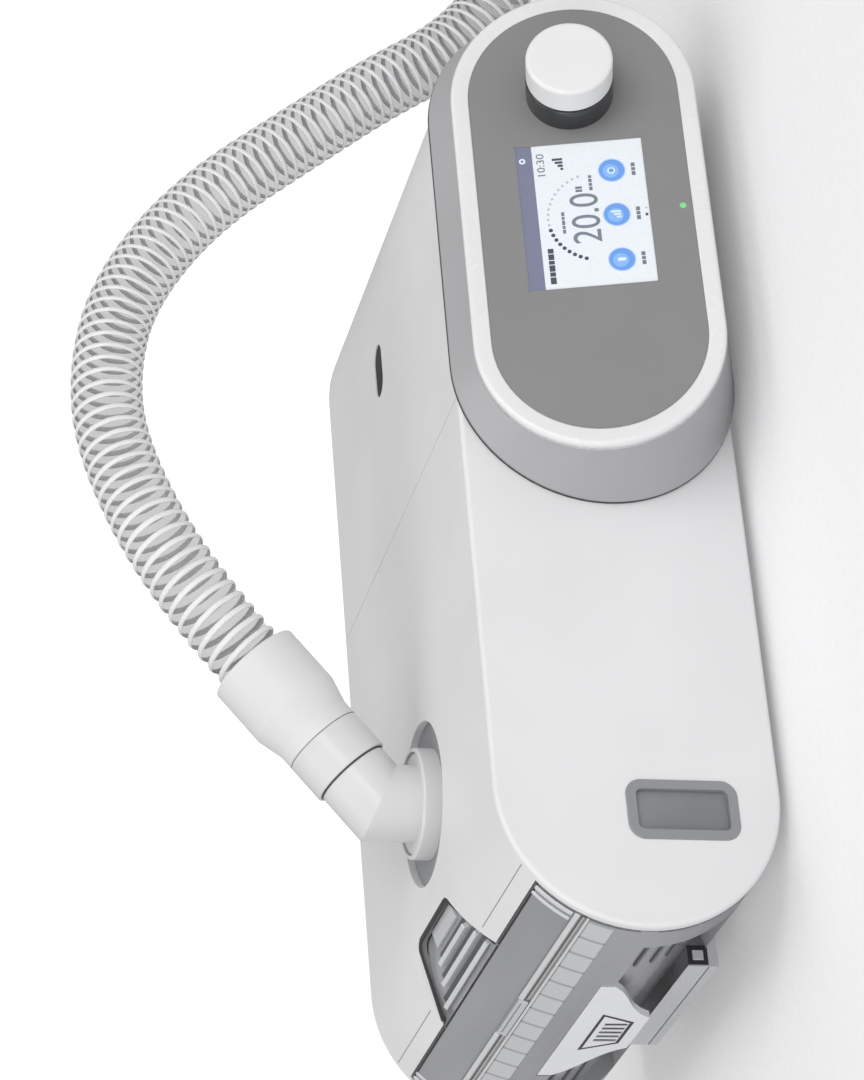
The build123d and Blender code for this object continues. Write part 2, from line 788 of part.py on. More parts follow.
with BuildPart() as tank_tub:
    left_end(tank_front, tank_back, tub_floor, tub_rim, tank_right)
    with BuildSketch(Plane.XZ.offset(-mid_y - pocket_half)) as pocket_ring:
        with Locations((left_x, mid_z)):
            Circle(radius + over)
            Circle(radius - pocket_depth, mode=Mode.SUBTRACT)
        with Locations((left_x - radius, pocket_top - radius)):
            Rectangle(2 * radius, 2 * radius, mode=Mode.INTERSECT)
    extrude(pocket_ring.sketch, amount=2 * pocket_half, mode=Mode.SUBTRACT)
    block(latch_x - over, latch_back + latch_travel + gap, mid_y - latch_half_top - over,
          mid_y + latch_half_top + over, shoulder_z - over,
          head_z + gap, Mode.SUBTRACT)
    left_end(tank_front + tank_wall, tank_back - tank_wall, tub_floor + tank_wall,
             pocket_top + tank_wall, tank_right - tank_wall,
             pocket_depth + tank_wall, Mode.SUBTRACT)
    left_end(tank_front + tank_wall, tank_back - tank_wall,
             head_z + tank_wall, tub_rim + over, tank_right - tank_wall,
             tank_wall, Mode.SUBTRACT)
    left_end(tank_front + tank_wall, tank_back - tank_wall,
             pocket_top, head_z + 2 * tank_wall,
             tank_right - tank_wall, pocket_depth + tank_wall, Mode.SUBTRACT)
    for side in (-1, 1):
        pin_y = mid_y + side * latch_pin_spread
        rod_x(pocket_x, pin_end + latch_travel + tank_wall, pin_y, shoulder_z,
              2 * latch_pin_radius)
        rod_x(latch_x, pin_end + latch_travel + gap, pin_y, shoulder_z,
              latch_pin_radius + snug, Mode.SUBTRACT)
    for i in range(groove_count):
        groove_y = mid_y + (i - (groove_count - 1) / 2) * groove_pitch
        with Locations(Location((groove_x, groove_y, groove_z), (0, 270 - groove_angle, 0))):
            Box(2 * groove_deep, groove_width, groove_length, mode=Mode.SUBTRACT)
    rod_x(tank_right - 2 * tank_wall, tank_right + over, nozzle_y, inlet_z, inlet_radius,
          Mode.SUBTRACT)
write(tank_tub, "tank_tub")

with BuildPart() as tank_seal:
    block(left_x - lid_left + gap, tank_right - gap, tank_front + gap, tank_back - gap,
          tub_rim, lid_z)
    block(left_x - lid_left + seal_width, tank_right - seal_width,
          tank_front + seal_width, tank_back - seal_width, 0, top_z, Mode.SUBTRACT)
write(tank_seal, "tank_seal")

with BuildPart() as tank_lid:
    left_end(tank_front, tank_back, lid_z, lid_top, tank_right)
    with BuildPart(mode=Mode.PRIVATE) as grip:
        left_end(tank_front, tank_back, lid_top - root, top_z, left_x, grip_sink)
        finger_cut(grip_clear, lid_top - over, top_z + over, Mode.INTERSECT)
    add(grip.part)
    left_end(tank_front + tank_wall, tank_back - tank_wall, lid_z - over,
             lid_top - tank_wall, tank_right - tank_wall, tank_wall, Mode.SUBTRACT)
    post(outlet_x, outlet_y, lid_z, lid_top + over, elbow_radius, Mode.SUBTRACT)
write(tank_lid, "tank_lid")

with BuildPart() as tank_base:
    left_end(tank_front, tank_back, tank_low, tub_floor, tank_right)
    block(left_x - bumper_reach, left_x, mid_y - bumper_half, mid_y + bumper_half,
          tank_low, tub_floor)
    block(left_x - bumper_reach, left_x - bumper_reach + bumper_thick, mid_y - bumper_half,
          mid_y + bumper_half, tub_floor, base_z + bumper_height)
    with BuildSketch(Plane.XZ.offset(-mid_y - bumper_half - over)) as tub_side:
        with Locations((left_x, mid_z)):
            Circle(radius + snug)
        with Locations((left_x, tub_floor + radius)):
            Rectangle(2 * radius, 2 * radius, mode=Mode.INTERSECT)
    extrude(tub_side.sketch, amount=2 * (bumper_half + over), mode=Mode.SUBTRACT)
    block(left_x, heater_end, mid_y - heater_half_width, mid_y + heater_half_width,
          tank_low - over, tub_floor + over, Mode.SUBTRACT)
write(tank_base, "tank_base")

with BuildPart() as tank_heat_base:
    block(left_x + snug, heater_end - snug, mid_y - heater_half_width + snug,
          mid_y + heater_half_width - snug, tank_low, tub_floor)
write(tank_heat_base, "tank_heat_base")

with BuildPart() as tank_latch:
    with BuildSketch(Plane.YZ.offset(latch_x)) as tab:
        with BuildLine():
            tab_foot = Line(
                (mid_y - latch_half_foot, latch_foot_z),
                (mid_y + latch_half_foot, latch_foot_z),
            )
            Spline(
                tab_foot @ 1,
                (mid_y + latch_half_top, shoulder_z),
                tangents=((0.6, 1), (0.9, 1)),
            )
            Polyline(
                (mid_y + latch_half_top, shoulder_z),
                (mid_y + latch_half_top, head_z),
                (mid_y - latch_half_top, head_z),
                (mid_y - latch_half_top, shoulder_z),
            )
            Spline(
                (mid_y - latch_half_top, shoulder_z),
                tab_foot @ 0,
                tangents=((0.9, -1), (0.6, -1)),
            )
        make_face()
    extrude(tab.sketch, amount=latch_thick)
    for i in range(latch_slot_count):
        slot_y = mid_y + (i - (latch_slot_count - 1) / 2) * latch_slot_pitch
        slot_z = base_z + latch_slot_middle
        block(latch_x - over, latch_x + latch_slot_deep, slot_y - latch_slot_width / 2,
              slot_y + latch_slot_width / 2, slot_z - latch_slot_half,
              slot_z + latch_slot_half, Mode.SUBTRACT)
    for side in (-1, 1):
        rod_x(latch_back, pin_end, mid_y + side * latch_pin_spread, shoulder_z,
              latch_pin_radius)
write(tank_latch, "tank_latch")

# ------------------------------------------------------------ heater under it
heater_x0 = left_x + heater_rim / 2
heater_x1 = heater_end - heater_rim / 2
heater_half = heater_half_width - heater_rim / 2
heater_top = tank_low - snug
heater_under = heater_top - heater_thick - heater_film
spring_places = [
    (x, y)
    for x in (heater_x0 + spring_inset, heater_x1 - spring_inset)
    for y in (mid_y - heater_half + spring_inset, mid_y + heater_half - spring_inset)
]

with BuildPart() as heater_plate:
    block(heater_x0, heater_x1, mid_y - heater_half, mid_y + heater_half,
          heater_top - heater_thick, heater_top)
    fillet(edges().filter_by(Axis.Z), heater_rim)
write(heater_plate, "heater_plate")

with BuildPart() as heater_pad:
    block(heater_x0 + pad_inset, heater_x1 - pad_inset, mid_y - heater_half + pad_inset,
          mid_y + heater_half - pad_inset,
          heater_under, heater_top - heater_thick)
    fillet(edges().filter_by(Axis.Z), heater_rim)
write(heater_pad, "heater_pad")

with BuildPart() as heater_tray:
    block(heater_x0 - heater_rim / 2, heater_x1 + heater_rim / 2,
          mid_y - heater_half_width, mid_y + heater_half_width,
          floor_z, heater_top - heater_thick / 2)
    block(heater_x0 - gap, heater_x1 + gap, mid_y - heater_half - gap,
          mid_y + heater_half + gap, floor_z - over, top_z, Mode.SUBTRACT)
write(heater_tray, "heater_tray")

with BuildPart() as heater_springs:
    for spring_x, spring_y in spring_places:
        spring(spring_x, spring_y, floor_z, heater_under)
write(heater_springs, "heater_springs")

# -------------------------------------------------------------- elbow and hose
with BuildPart() as elbow:
    elbow_run(elbow_radius, port_low + gap, sleeve_from)
    elbow_run(spigot_radius, port_low + gap, spigot_to)
    post(outlet_x, outlet_y, foot_z, foot_z + elbow_foot_thick, elbow_foot_radius)
    elbow_run(elbow_bore, port_low - over, spigot_to + over, Mode.SUBTRACT)
write(elbow, "elbow")

with BuildPart() as swivel_sleeve:
    arm_disc(sleeve_from + sleeve_gap, sleeve_to, sleeve_radius)
    fillet(edges().filter_by(GeomType.CIRCLE), sleeve_round)
    arm_disc(sleeve_from, sleeve_to + over, spigot_radius + snug, Mode.SUBTRACT)
write(swivel_sleeve, "swivel_sleeve")

with BuildPart() as hose_cuff:
    arm_disc(sleeve_to + sleeve_gap, cuff_cone_from, sleeve_radius)
    with BuildSketch(arm.offset(cuff_cone_from)) as cone_foot:
        Circle(sleeve_radius)
    with BuildSketch(arm.offset(cuff_cone_to)) as cone_head:
        Circle(cuff_radius)
    loft([cone_foot.sketch, cone_head.sketch])
    arm_disc(cuff_cone_to, cuff_to, cuff_radius)
    fillet(edges().sort_by(Axis(bend, arm_dir))[-1], cuff_round)
    arm_disc(sleeve_to, spigot_to + over, spigot_radius + snug, Mode.SUBTRACT)
    arm_disc(sleeve_to, cuff_to + over, hose_bore, Mode.SUBTRACT)
write(hose_cuff, "hose_cuff")

# The hose's route: along X and Y from where it leaves the cuff, and its height
# as a share of that place's height over the hose lying on the surface.
hose_start = bend + arm_dir * cuff_to
lead_point = hose_start + arm_dir * hose_lead
hose_steps = [
    (82.7, 7.9, 1.314),
    (118.7, 12.0, 1.328),
    (157.7, 18.3, 1.257),
    (201.7, 25.1, 1.044),
    (241.2, 30.6, 0.718),
    (266.7, 34.3, 0.506),
    (287.7, 36.0, 0.290),
    (310.5, 35.4, 0.149),
    (337.6, 35.0, 0.053),
    (372.4, 36.8, 0.0),
    (405.9, 39.4, 0.0),
    (437.9, 38.0, 0.0),
    (466.9, 38.0, 0.0),
]
hose_points = [hose_start, lead_point] + [
    Vector(
        hose_start.X + along,
        hose_start.Y + across,
        hose_radius + share * (hose_start.Z - hose_radius),
    )
    for along, across, share in hose_steps
]


def corner_radius(before, corner, after):
    """The largest even bend that two runs of the hose leave room for."""
    turn = (corner - before).get_angle(after - corner)
    shorter = min((corner - before).length, (after - corner).length)
    return bend_share * shorter / tan(radians(turn / 2))


hose_bends = [
    corner_radius(*hose_points[i : i + 3]) for i in range(len(hose_points) - 2)
]

with BuildPart() as hose:
    with BuildLine() as hose_path:
        FilletPolyline(*hose_points, radius=hose_bends)
    with BuildSketch(arm.offset(cuff_to)) as hose_section:
        Circle(hose_radius)
        Circle(hose_bore, mode=Mode.SUBTRACT)
    sweep(hose_section.sketch, path=hose_path.line)
write(hose, "hose")

hose_length = hose_path.wires()[0].length
hose_area = pi * (hose_radius**2 - hose_bore**2)
print("hose bends", [round(r, 1) for r in hose_bends])
print("hose length", round(hose_length, 1), "volume share",
      round(hose.part.volume / (hose_area * hose_length), 4))

# The rest of the hose lies in a two-layer coil, clockwise seen from above.
hose_end = hose_points[-1]
coil_x = hose_end.X
coil_y = hose_end.Y - coil_radius
layer = 2 * hose_radius
upper_z = layer + coil_layer_gap


def coil_arc(z0, z1, start, end):
    """Part of the coil's outer shape, by how far it is along the turns."""
    with BuildSketch(Plane(origin=(coil_x, coil_y, 0), x_dir=(0, 1, 0), z_dir=(1, 0, 0))) as s:
        with Locations((coil_radius, (z0 + z1) / 2)):
            RectangleRounded(layer, z1 - z0, hose_radius / 2)
    spin = Location((coil_x, coil_y, 0), (0, 0, -start)) * Location((-coil_x, -coil_y, 0))
    revolve(spin * s.sketch, axis=Axis((coil_x, coil_y, 0), (0, 0, -1)),
            revolution_arc=end - start)


with BuildPart() as hose_coil:
    coil_arc(0.0, layer, 0.0, coil_ramp_to)
    coil_arc(0.0, upper_z + layer, coil_ramp_from, coil_ramp_to)
    coil_arc(upper_z, upper_z + layer, coil_ramp_from + coil_lap, coil_turn)
write(hose_coil, "hose_coil")

cuff_turn = radians(90 - coil_turn)
cuff_dir = Vector(sin(cuff_turn), -cos(cuff_turn), 0)
cuff_from = Vector(
    coil_x + coil_radius * cos(cuff_turn),
    coil_y + coil_radius * sin(cuff_turn),
    upper_z + hose_radius,
)
mask_end = Plane(origin=cuff_from, x_dir=(0, 0, 1), z_dir=cuff_dir)

with BuildPart() as mask_cuff:
    with BuildSketch(mask_end) as cuff_outline:
        Circle(hose_radius + mask_cuff_over)
    extrude(cuff_outline.sketch, amount=mask_cuff_length)
    with BuildSketch(mask_end.offset(mask_cuff_length)) as cuff_bore:
        Circle(mask_bore)
    extrude(cuff_bore.sketch, amount=-mask_bore_depth, mode=Mode.SUBTRACT)
write(mask_cuff, "mask_cuff")
print("coil length about", round(coil_radius * radians(coil_turn)))

# ------------------------------------------------------------------------ pod
with BuildPart() as pod_shell:
    pod_form(0.0)
    pod_form(pod_wall, Mode.SUBTRACT)
write(pod_shell, "pod_shell")

with BuildPart() as panel_rim:
    face_stadium(-rim_depth, rim_proud, rim_radius)
    fillet(edges().sort_by(Axis(face.origin, face.z_dir))[-4:], rim_round)
    face_stadium(-panel_thick, 2 * rim_depth, panel_radius, Mode.SUBTRACT)
    face_stadium(-2 * rim_depth, rim_depth, panel_radius - pod_wall, Mode.SUBTRACT)
    face_disc(lamp_along, -lamp_drop, -2 * rim_depth, -panel_thick,
              lamp_radius + lamp_flange + gap, Mode.SUBTRACT)
write(panel_rim, "panel_rim")

with BuildPart() as front_panel:
    face_stadium(-panel_thick, 0.0, panel_radius - snug)
    face_block(screen_along, screen_rise, screen_width, screen_height,
               -2 * panel_thick, panel_thick, mode=Mode.SUBTRACT)
    face_disc(knob_along, knob_rise, -2 * panel_thick, panel_thick,
              shaft_radius + shaft_hole_clear, Mode.SUBTRACT)
    face_disc(lamp_along, -lamp_drop, -2 * panel_thick, panel_thick, lamp_radius,
              Mode.SUBTRACT)
    for u in (screen_along - screen_width / 2 - post_aside, knob_along + post_past_knob):
        for v in (-board_half_height + post_aside, board_half_height - post_aside):
            face_disc(u, v, -board_depth, -panel_thick, post_radius)
write(front_panel, "front_panel")

with BuildPart() as display_window:
    face_block(screen_along, screen_rise, screen_width, screen_height,
               -lens_thick - gap, -gap)
write(display_window, "display_window")

with BuildPart() as display_module:
    face_block(screen_along, screen_rise, screen_width, screen_height,
               -panel_thick, -lens_thick - gap)
    face_block(screen_along, screen_rise, screen_width + 2 * module_margin,
               screen_height + 2 * module_margin, -panel_thick - module_thick, -panel_thick)
write(display_module, "display_module")

with BuildPart() as display_board:
    face_block((screen_along + knob_along) / 2, 0, pod_span - 2 * module_margin,
               2 * board_half_height, -board_depth - board_thick, -board_depth,
               board_corner)
write(display_board, "display_board")

with BuildPart() as light_pipe:
    face_disc(lamp_along, -lamp_drop, -board_depth + board_thick, 0.0, lamp_radius)
    face_disc(lamp_along, -lamp_drop, -board_depth + board_thick, -panel_thick,
              lamp_radius + lamp_flange)
write(light_pipe, "light_pipe")

# ----------------------------------------------------------------------- knob
knob_under = knob_reach - knob_thick
shaft_top = knob_reach - knob_skin
encoder_top = encoder_height - board_depth
plunger_low = encoder_top + knob_travel + gap
shaft_low = plunger_low + plunger_height

with BuildPart() as knob_collar:
    face_disc(knob_along, knob_rise, 0.0, collar_height, collar_radius)
    fillet(edges().sort_by(Axis(face.origin, face.z_dir))[-1], knob_round)
    face_disc(knob_along, knob_rise, -over, collar_height + over, shaft_radius + snug,
              Mode.SUBTRACT)
write(knob_collar, "knob_collar")

with BuildPart() as knob_cap:
    face_disc(knob_along, knob_rise, knob_under, knob_reach, knob_radius)
    fillet(edges().sort_by(Axis(face.origin, face.z_dir))[-1], knob_round)
    face_disc(knob_along, knob_rise, knob_under, shaft_top, shaft_radius, Mode.SUBTRACT)
write(knob_cap, "knob_cap")

with BuildPart() as knob_shaft:
    face_disc(knob_along, knob_rise, shaft_low, shaft_top, shaft_radius)
write(knob_shaft, "knob_shaft")

with BuildPart() as switch_plunger:
    face_disc(knob_along, knob_rise, plunger_low, shaft_low, plunger_radius)
write(switch_plunger, "switch_plunger")

with BuildPart() as encoder_body:
    face_block(knob_along, knob_rise, encoder_width, encoder_width, -board_depth,
               encoder_top)
write(encoder_body, "encoder_body")

# --------------------------------------------------------------------- blower
with BuildPart() as blower_lower:
    post(blower_x, blower_y, blower_under, blower_split, blower_radius)
    post(blower_x, blower_y, motor_low, blower_split + over, blower_radius - blower_wall,
         Mode.SUBTRACT)
write(blower_lower, "blower_lower")

with BuildPart() as blower_upper:
    post(blower_x, blower_y, blower_split, blower_top, blower_radius)
    rod_x(split_x, blower_x, nozzle_y, nozzle_z, nozzle_radius)
    post(blower_x, blower_y, blower_split - over, blower_top - blower_wall,
         blower_radius - blower_wall, Mode.SUBTRACT)
    post(blower_x, blower_y, blower_split - over, blower_top + over, blower_inlet_radius,
         Mode.SUBTRACT)
    rod_x(split_x - over, blower_x, nozzle_y, nozzle_z, nozzle_bore, Mode.SUBTRACT)
write(blower_upper, "blower_upper")

with BuildPart() as impeller:
    post(blower_x, blower_y, impeller_low, impeller_low + impeller_disc, impeller_radius)
    with BuildSketch(Plane.XY.offset(impeller_low + impeller_disc)) as blades:
        with Locations((blower_x, blower_y)):
            with PolarLocations(blade_middle, blade_count):
                Rectangle(blade_length, blade_thick, rotation=blade_slant)
    extrude(blades.sketch, amount=impeller_height - impeller_disc)
    post(blower_x, blower_y, impeller_low, impeller_top, hub_radius)
    post(blower_x, blower_y, 0, top_z, motor_shaft_radius, Mode.SUBTRACT)
write(impeller, "impeller")

with BuildPart() as motor:
    post(blower_x, blower_y, motor_low, motor_top, motor_radius)
    post(blower_x, blower_y, motor_low, motor_top + over, bearing_radius, Mode.SUBTRACT)
write(motor, "motor")

with BuildPart() as motor_bearings:
    for z in (motor_low, motor_top - bearing_height):
        post(blower_x, blower_y, z, z + bearing_height, bearing_radius)
    post(blower_x, blower_y, 0, top_z, motor_shaft_radius + snug, Mode.SUBTRACT)
write(motor_bearings, "motor_bearings")

with BuildPart() as motor_shaft:
    post(blower_x, blower_y, motor_low + gap, impeller_top, motor_shaft_radius)
write(motor_shaft, "motor_shaft")

with BuildPart() as blower_mounts:
    for mount_x, mount_y in mount_places:
        post(mount_x, mount_y, floor_z, blower_under, mount_radius)
write(blower_mounts, "blower_mounts")

box_x0 = blower_x - blower_radius
box_x1 = filter_x + filter_width / 2 + wall
box_y0 = blower_y - blower_radius + air_box_from_front
box_y1 = inner_back - recess_deep - inlet_seal_thick
foam_x0 = box_x0 + air_box_wall
foam_top = box_top - air_box_wall

with BuildPart() as air_box:
    block(box_x0, box_x1, box_y0, box_y1, blower_top, box_top)
    block(box_x0 + air_box_wall, box_x1 - air_box_wall, box_y0 + air_box_wall,
          box_y1 - air_box_wall, blower_top + air_box_wall, box_top - air_box_wall,
          Mode.SUBTRACT)
    post(blower_x, blower_y, blower_top - over, blower_top + air_box_wall + over,
         blower_inlet_radius, Mode.SUBTRACT)
    block(filter_x - filter_width / 2, filter_x + filter_width / 2,
          box_y1 - air_box_wall - over, box_y1 + over, filter_z - filter_tall / 2 + frame_lap,
          filter_z + filter_tall / 2 - frame_lap, Mode.SUBTRACT)
write(air_box, "air_box")

with BuildPart() as muffler_foam:
    block(foam_x0, box_x1 - air_box_wall, box_y0 + air_box_wall, box_y1 - air_box_wall,
          foam_top - foam_thick, foam_top)
    block(foam_x0, foam_x0 + foam_thick, box_y0 + air_box_wall, box_y1 - air_box_wall,
          blower_top + air_box_wall, foam_top)
write(muffler_foam, "muffler_foam")

with BuildPart() as inlet_seal:
    block(filter_x - filter_width / 2 - frame_lap, filter_x + filter_width / 2 + frame_lap,
          box_y1, inner_back - recess_deep, filter_z - filter_tall / 2,
          filter_z + filter_tall / 2)
    block(filter_x - filter_width / 2, filter_x + filter_width / 2, box_y1 - over, inner_back,
          filter_z - filter_tall / 2 + frame_lap, filter_z + filter_tall / 2 - frame_lap,
          Mode.SUBTRACT)
write(inlet_seal, "inlet_seal")

with BuildPart() as outlet_duct:
    duct_run(tank_right + gap, split_x, nozzle_radius)
    duct_run(tank_right, split_x + over, nozzle_bore, Mode.SUBTRACT)
write(outlet_duct, "outlet_duct")

with BuildPart() as flow_sensor:
    block(sensor_x0, sensor_x1, nozzle_y - sensor_width / 2, nozzle_y + sensor_width / 2,
          nozzle_z + nozzle_radius, nozzle_z + nozzle_radius + sensor_height)
write(flow_sensor, "flow_sensor")

# ------------------------------------------------------------------ back face
with BuildPart() as filter_cover:
    back_cover(filter_x, filter_z, filter_width, filter_tall)
write(filter_cover, "filter_cover")

filter_back = back_y - cover_thick - gap

with BuildPart() as air_filter:
    block(filter_x - filter_width / 2, filter_x + filter_width / 2,
          filter_back - filter_thick, filter_back, filter_z - filter_tall / 2,
          filter_z + filter_tall / 2)
write(air_filter, "air_filter")

with BuildPart() as port_cover:
    back_cover(port_x, port_z, port_width, port_tall)
write(port_cover, "port_cover")

with BuildPart() as power_socket:
    rod_y(socket_x, back_y - socket_depth - socket_back, back_y, socket_z, socket_radius)
    rod_y(socket_x, back_y - socket_depth, back_y + over, socket_z, socket_bore, Mode.SUBTRACT)
write(power_socket, "power_socket")

with BuildPart() as main_board:
    block(left_x + board_from_left, left_x + board_from_left + board_width,
          inner_front + board_end_gap, inner_back - board_end_gap,
          floor_z + board_lift, floor_z + board_lift + board_thick)
    for y in (inner_front + board_end_gap + board_post_inset,
              inner_back - board_end_gap - board_post_inset):
        post(left_x + board_from_left + board_post_from_edge, y, floor_z,
             floor_z + board_lift, board_post_radius)
write(main_board, "main_board")

with BuildPart() as case_screws:
    for screw_x, screw_y in humidifier_bosses + main_bosses:
        post(screw_x, screw_y, base_z + screw_sink, base_z + screw_head,
             screw_head_radius - screw_sink)
        post(screw_x, screw_y, base_z + screw_sink, mid_z + screw_reach, screw_radius)
write(case_screws, "case_screws")
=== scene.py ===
"""Looks for a bedside airway-pressure machine: housings, smoky water tank,
control pod with its screen and knob, swivel elbow and corrugated air hose."""
import json
import math

import bmesh
import bpy
from mathutils import Matrix, Vector


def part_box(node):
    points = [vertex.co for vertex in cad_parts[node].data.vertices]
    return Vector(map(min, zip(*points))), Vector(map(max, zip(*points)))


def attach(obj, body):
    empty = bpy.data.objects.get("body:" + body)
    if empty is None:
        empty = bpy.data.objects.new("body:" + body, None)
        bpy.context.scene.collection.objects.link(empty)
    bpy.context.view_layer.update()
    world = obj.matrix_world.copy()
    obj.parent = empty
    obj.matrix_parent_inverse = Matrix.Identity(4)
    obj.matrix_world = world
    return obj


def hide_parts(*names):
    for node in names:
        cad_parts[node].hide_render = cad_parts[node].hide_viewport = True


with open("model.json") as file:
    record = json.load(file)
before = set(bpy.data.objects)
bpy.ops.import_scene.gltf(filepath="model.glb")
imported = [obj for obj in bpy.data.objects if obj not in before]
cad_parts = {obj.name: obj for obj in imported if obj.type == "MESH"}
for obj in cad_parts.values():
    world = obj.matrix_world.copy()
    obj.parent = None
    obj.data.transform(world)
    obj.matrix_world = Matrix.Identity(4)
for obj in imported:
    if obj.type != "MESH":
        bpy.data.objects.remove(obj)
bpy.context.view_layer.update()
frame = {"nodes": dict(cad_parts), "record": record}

MM = 0.001
UP = Vector((0, 0, 1))


# ---------------------------------------------------------------- frame places
def corners(node):
    """Lowest and highest corner of a CAD node, as vectors."""
    low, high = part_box(node)
    return Vector(low), Vector(high)


def joint(name):
    """The record's entry for one joint."""
    return next(j for j in frame["record"]["behaviour"]["joints"] if j["name"] == name)


shell_low, shell_high = corners("humidifier_shell")
tub_low, tub_high = corners("tank_tub")
LATCH_FACE_X = corners("tank_latch")[0].x
TANK_FOOT_Z = corners("tank_base")[0].z

RADIUS = (shell_high.z - shell_low.z) / 2
LEFT_X = shell_low.x + RADIUS
FRONT_Y = shell_low.y
BACK_Y = corners("humidifier_base")[1].y
MID_Y = (FRONT_Y + BACK_Y) / 2
MID_Z = (shell_high.z + shell_low.z) / 2
BASE_Z = shell_low.z

# The control face: its axes, and its origin at the left end's centre.
KNOB_ALONG = 95.6 * MM
KNOB_RISE = 1.1 * MM
KNOB_PIVOT_OUT = 10.0 * MM
FACE_N = Vector(joint("knob_turn")["axis"]).normalized()
FACE_U = Vector((1, 0, 0))
FACE_V = FACE_N.cross(FACE_U)
KNOB_FOOT = Vector(joint("knob_turn")["pos_m"]) - FACE_N * KNOB_PIVOT_OUT
FACE_O = KNOB_FOOT - FACE_U * KNOB_ALONG - FACE_V * KNOB_RISE
FACE_SPAN = 94.8 * MM
PANEL_RADIUS = 35.5 * MM
RIM_RADIUS = 41.5 * MM
RIM_DEPTH = 4.0 * MM
RIM_PROUD = 0.4 * MM
RIM_INNER = 33.2 * MM
PANEL_THICK = 2.2 * MM

# The elbow's arm, from the swivel's axis.
ARM_PIVOT = 21.0 * MM
ARM_DIR = Vector(joint("sleeve_turn")["axis"]).normalized()
BEND = Vector(joint("sleeve_turn")["pos_m"]) - ARM_DIR * ARM_PIVOT
CUFF_TO = 64.6 * MM
HOSE_EXIT = BEND + ARM_DIR * CUFF_TO


def on_face(u, v, w=0.0):
    """A point by its place along, up and out of the control face."""
    return FACE_O + FACE_U * u + FACE_V * v + FACE_N * w


# ------------------------------------------------------------------- materials
def linear(value):
    """One sRGB channel, 0 to 255, as linear light."""
    c = value / 255
    return c / 12.92 if c <= 0.04045 else ((c + 0.055) / 1.055) ** 2.4


def colour(r, g, b):
    return (linear(r), linear(g), linear(b), 1.0)


def shade(c, factor):
    """A colour made lighter or darker."""
    return (*(min(1.0, x * factor) for x in c[:3]), 1.0)


class Nodes:
    """A material's node tree with short ways to add to it."""

    def __init__(self, name):
        self.material = bpy.data.materials.new(name)
        self.material.use_nodes = True
        self.tree = self.material.node_tree
        self.shader = self.tree.nodes["Principled BSDF"]
        self.place = self.add("ShaderNodeTexCoord").outputs["Object"]

    def add(self, kind, **values):
        node = self.tree.nodes.new(kind)
        for key, value in values.items():
            setattr(node, key, value)
        return node

    def link(self, out, socket):
        self.tree.links.new(out, socket)

    def noise(self, scale, detail=3.0, stretch=(1, 1, 1)):
        mapping = self.add("ShaderNodeMapping")
        mapping.inputs["Scale"].default_value = stretch
        texture = self.add("ShaderNodeTexNoise")
        texture.inputs["Scale"].default_value = scale
        texture.inputs["Detail"].default_value = detail
        self.link(self.place, mapping.inputs["Vector"])
        self.link(mapping.outputs["Vector"], texture.inputs["Vector"])
        return texture.outputs["Fac"]

    def spread(self, value, low, high):
        """A 0 to 1 value mapped to a range."""
        node = self.add("ShaderNodeMapRange")
        node.inputs["From Min"].default_value = 0.3
        node.inputs["From Max"].default_value = 0.7
        node.inputs["To Min"].default_value = low
        node.inputs["To Max"].default_value = high
        self.link(value, node.inputs["Value"])
        return node.outputs["Result"]

    def mix(self, value, first, second):
        node = self.add("ShaderNodeMix", data_type="RGBA")
        self.link(value, node.inputs["Factor"])
        for socket, c in ((6, first), (7, second)):
            if isinstance(c, tuple):
                node.inputs[socket].default_value = c
            else:
                self.link(c, node.inputs[socket])
        return node.outputs[2]

    def bump(self, height, strength, distance):
        node = self.add("ShaderNodeBump")
        node.inputs["Strength"].default_value = strength
        node.inputs["Distance"].default_value = distance
        self.link(height, node.inputs["Height"])
        self.link(node.outputs["Normal"], self.shader.inputs["Normal"])

    def set(self, **values):
        names = {
            "coat": "Coat Weight",
            "coat_rough": "Coat Roughness",
            "specular": "Specular IOR Level",
            "ior": "IOR",
            "metal": "Metallic",
            "through": "Transmission Weight",
            "sheen": "Sheen Weight",
            "alpha": "Alpha",
            "glow": "Emission Strength",
        }
        for key, value in values.items():
            self.shader.inputs[names[key]].default_value = value


def moulded(name, base, rough=0.38, grain=900.0, depth=0.00003, vary=0.03, **extra):
    """Moulded plastic or rubber: a fine grain, and a faint drift in its colour."""
    m = Nodes(name)
    drift = m.spread(m.noise(18.0, 2.0), 0.0, 1.0)
    tint = m.mix(drift, shade(base, 1 - vary), shade(base, 1 + vary))
    m.link(tint, m.shader.inputs["Base Color"])
    m.link(m.spread(m.noise(60.0, 4.0), rough - 0.05, rough + 0.06),
           m.shader.inputs["Roughness"])
    m.bump(m.noise(grain, 2.0), 0.25, depth)
    m.set(**extra)
    return m.material


def brushed(name, base, rough=0.3, stretch=(1, 40, 40)):
    """Metal with fine lines drawn along one axis."""
    m = Nodes(name)
    lines = m.noise(180.0, 4.0, stretch)
    m.link(m.mix(m.spread(lines, 0.0, 1.0), shade(base, 0.88), shade(base, 1.08)),
           m.shader.inputs["Base Color"])
    m.link(m.spread(lines, rough - 0.08, rough + 0.12), m.shader.inputs["Roughness"])
    m.bump(lines, 0.2, 0.00004)
    m.set(metal=1.0)
    return m.material


def smoky(name, base, alpha, rough=0.12, vary=0.10):
    """Tinted clear plastic, thick enough to look grey."""
    m = Nodes(name)
    drift = m.spread(m.noise(25.0, 3.0, (1, 0.25, 1.4)), 0.0, 1.0)
    m.link(m.mix(drift, shade(base, 1 - vary), shade(base, 1 + vary)),
           m.shader.inputs["Base Color"])
    m.link(m.spread(m.noise(90.0, 3.0), rough - 0.04, rough + 0.08),
           m.shader.inputs["Roughness"])
    m.bump(m.noise(220.0, 2.0), 0.12, 0.00004)
    m.set(alpha=alpha, ior=1.49, coat=0.4, coat_rough=0.05)
    return m.material


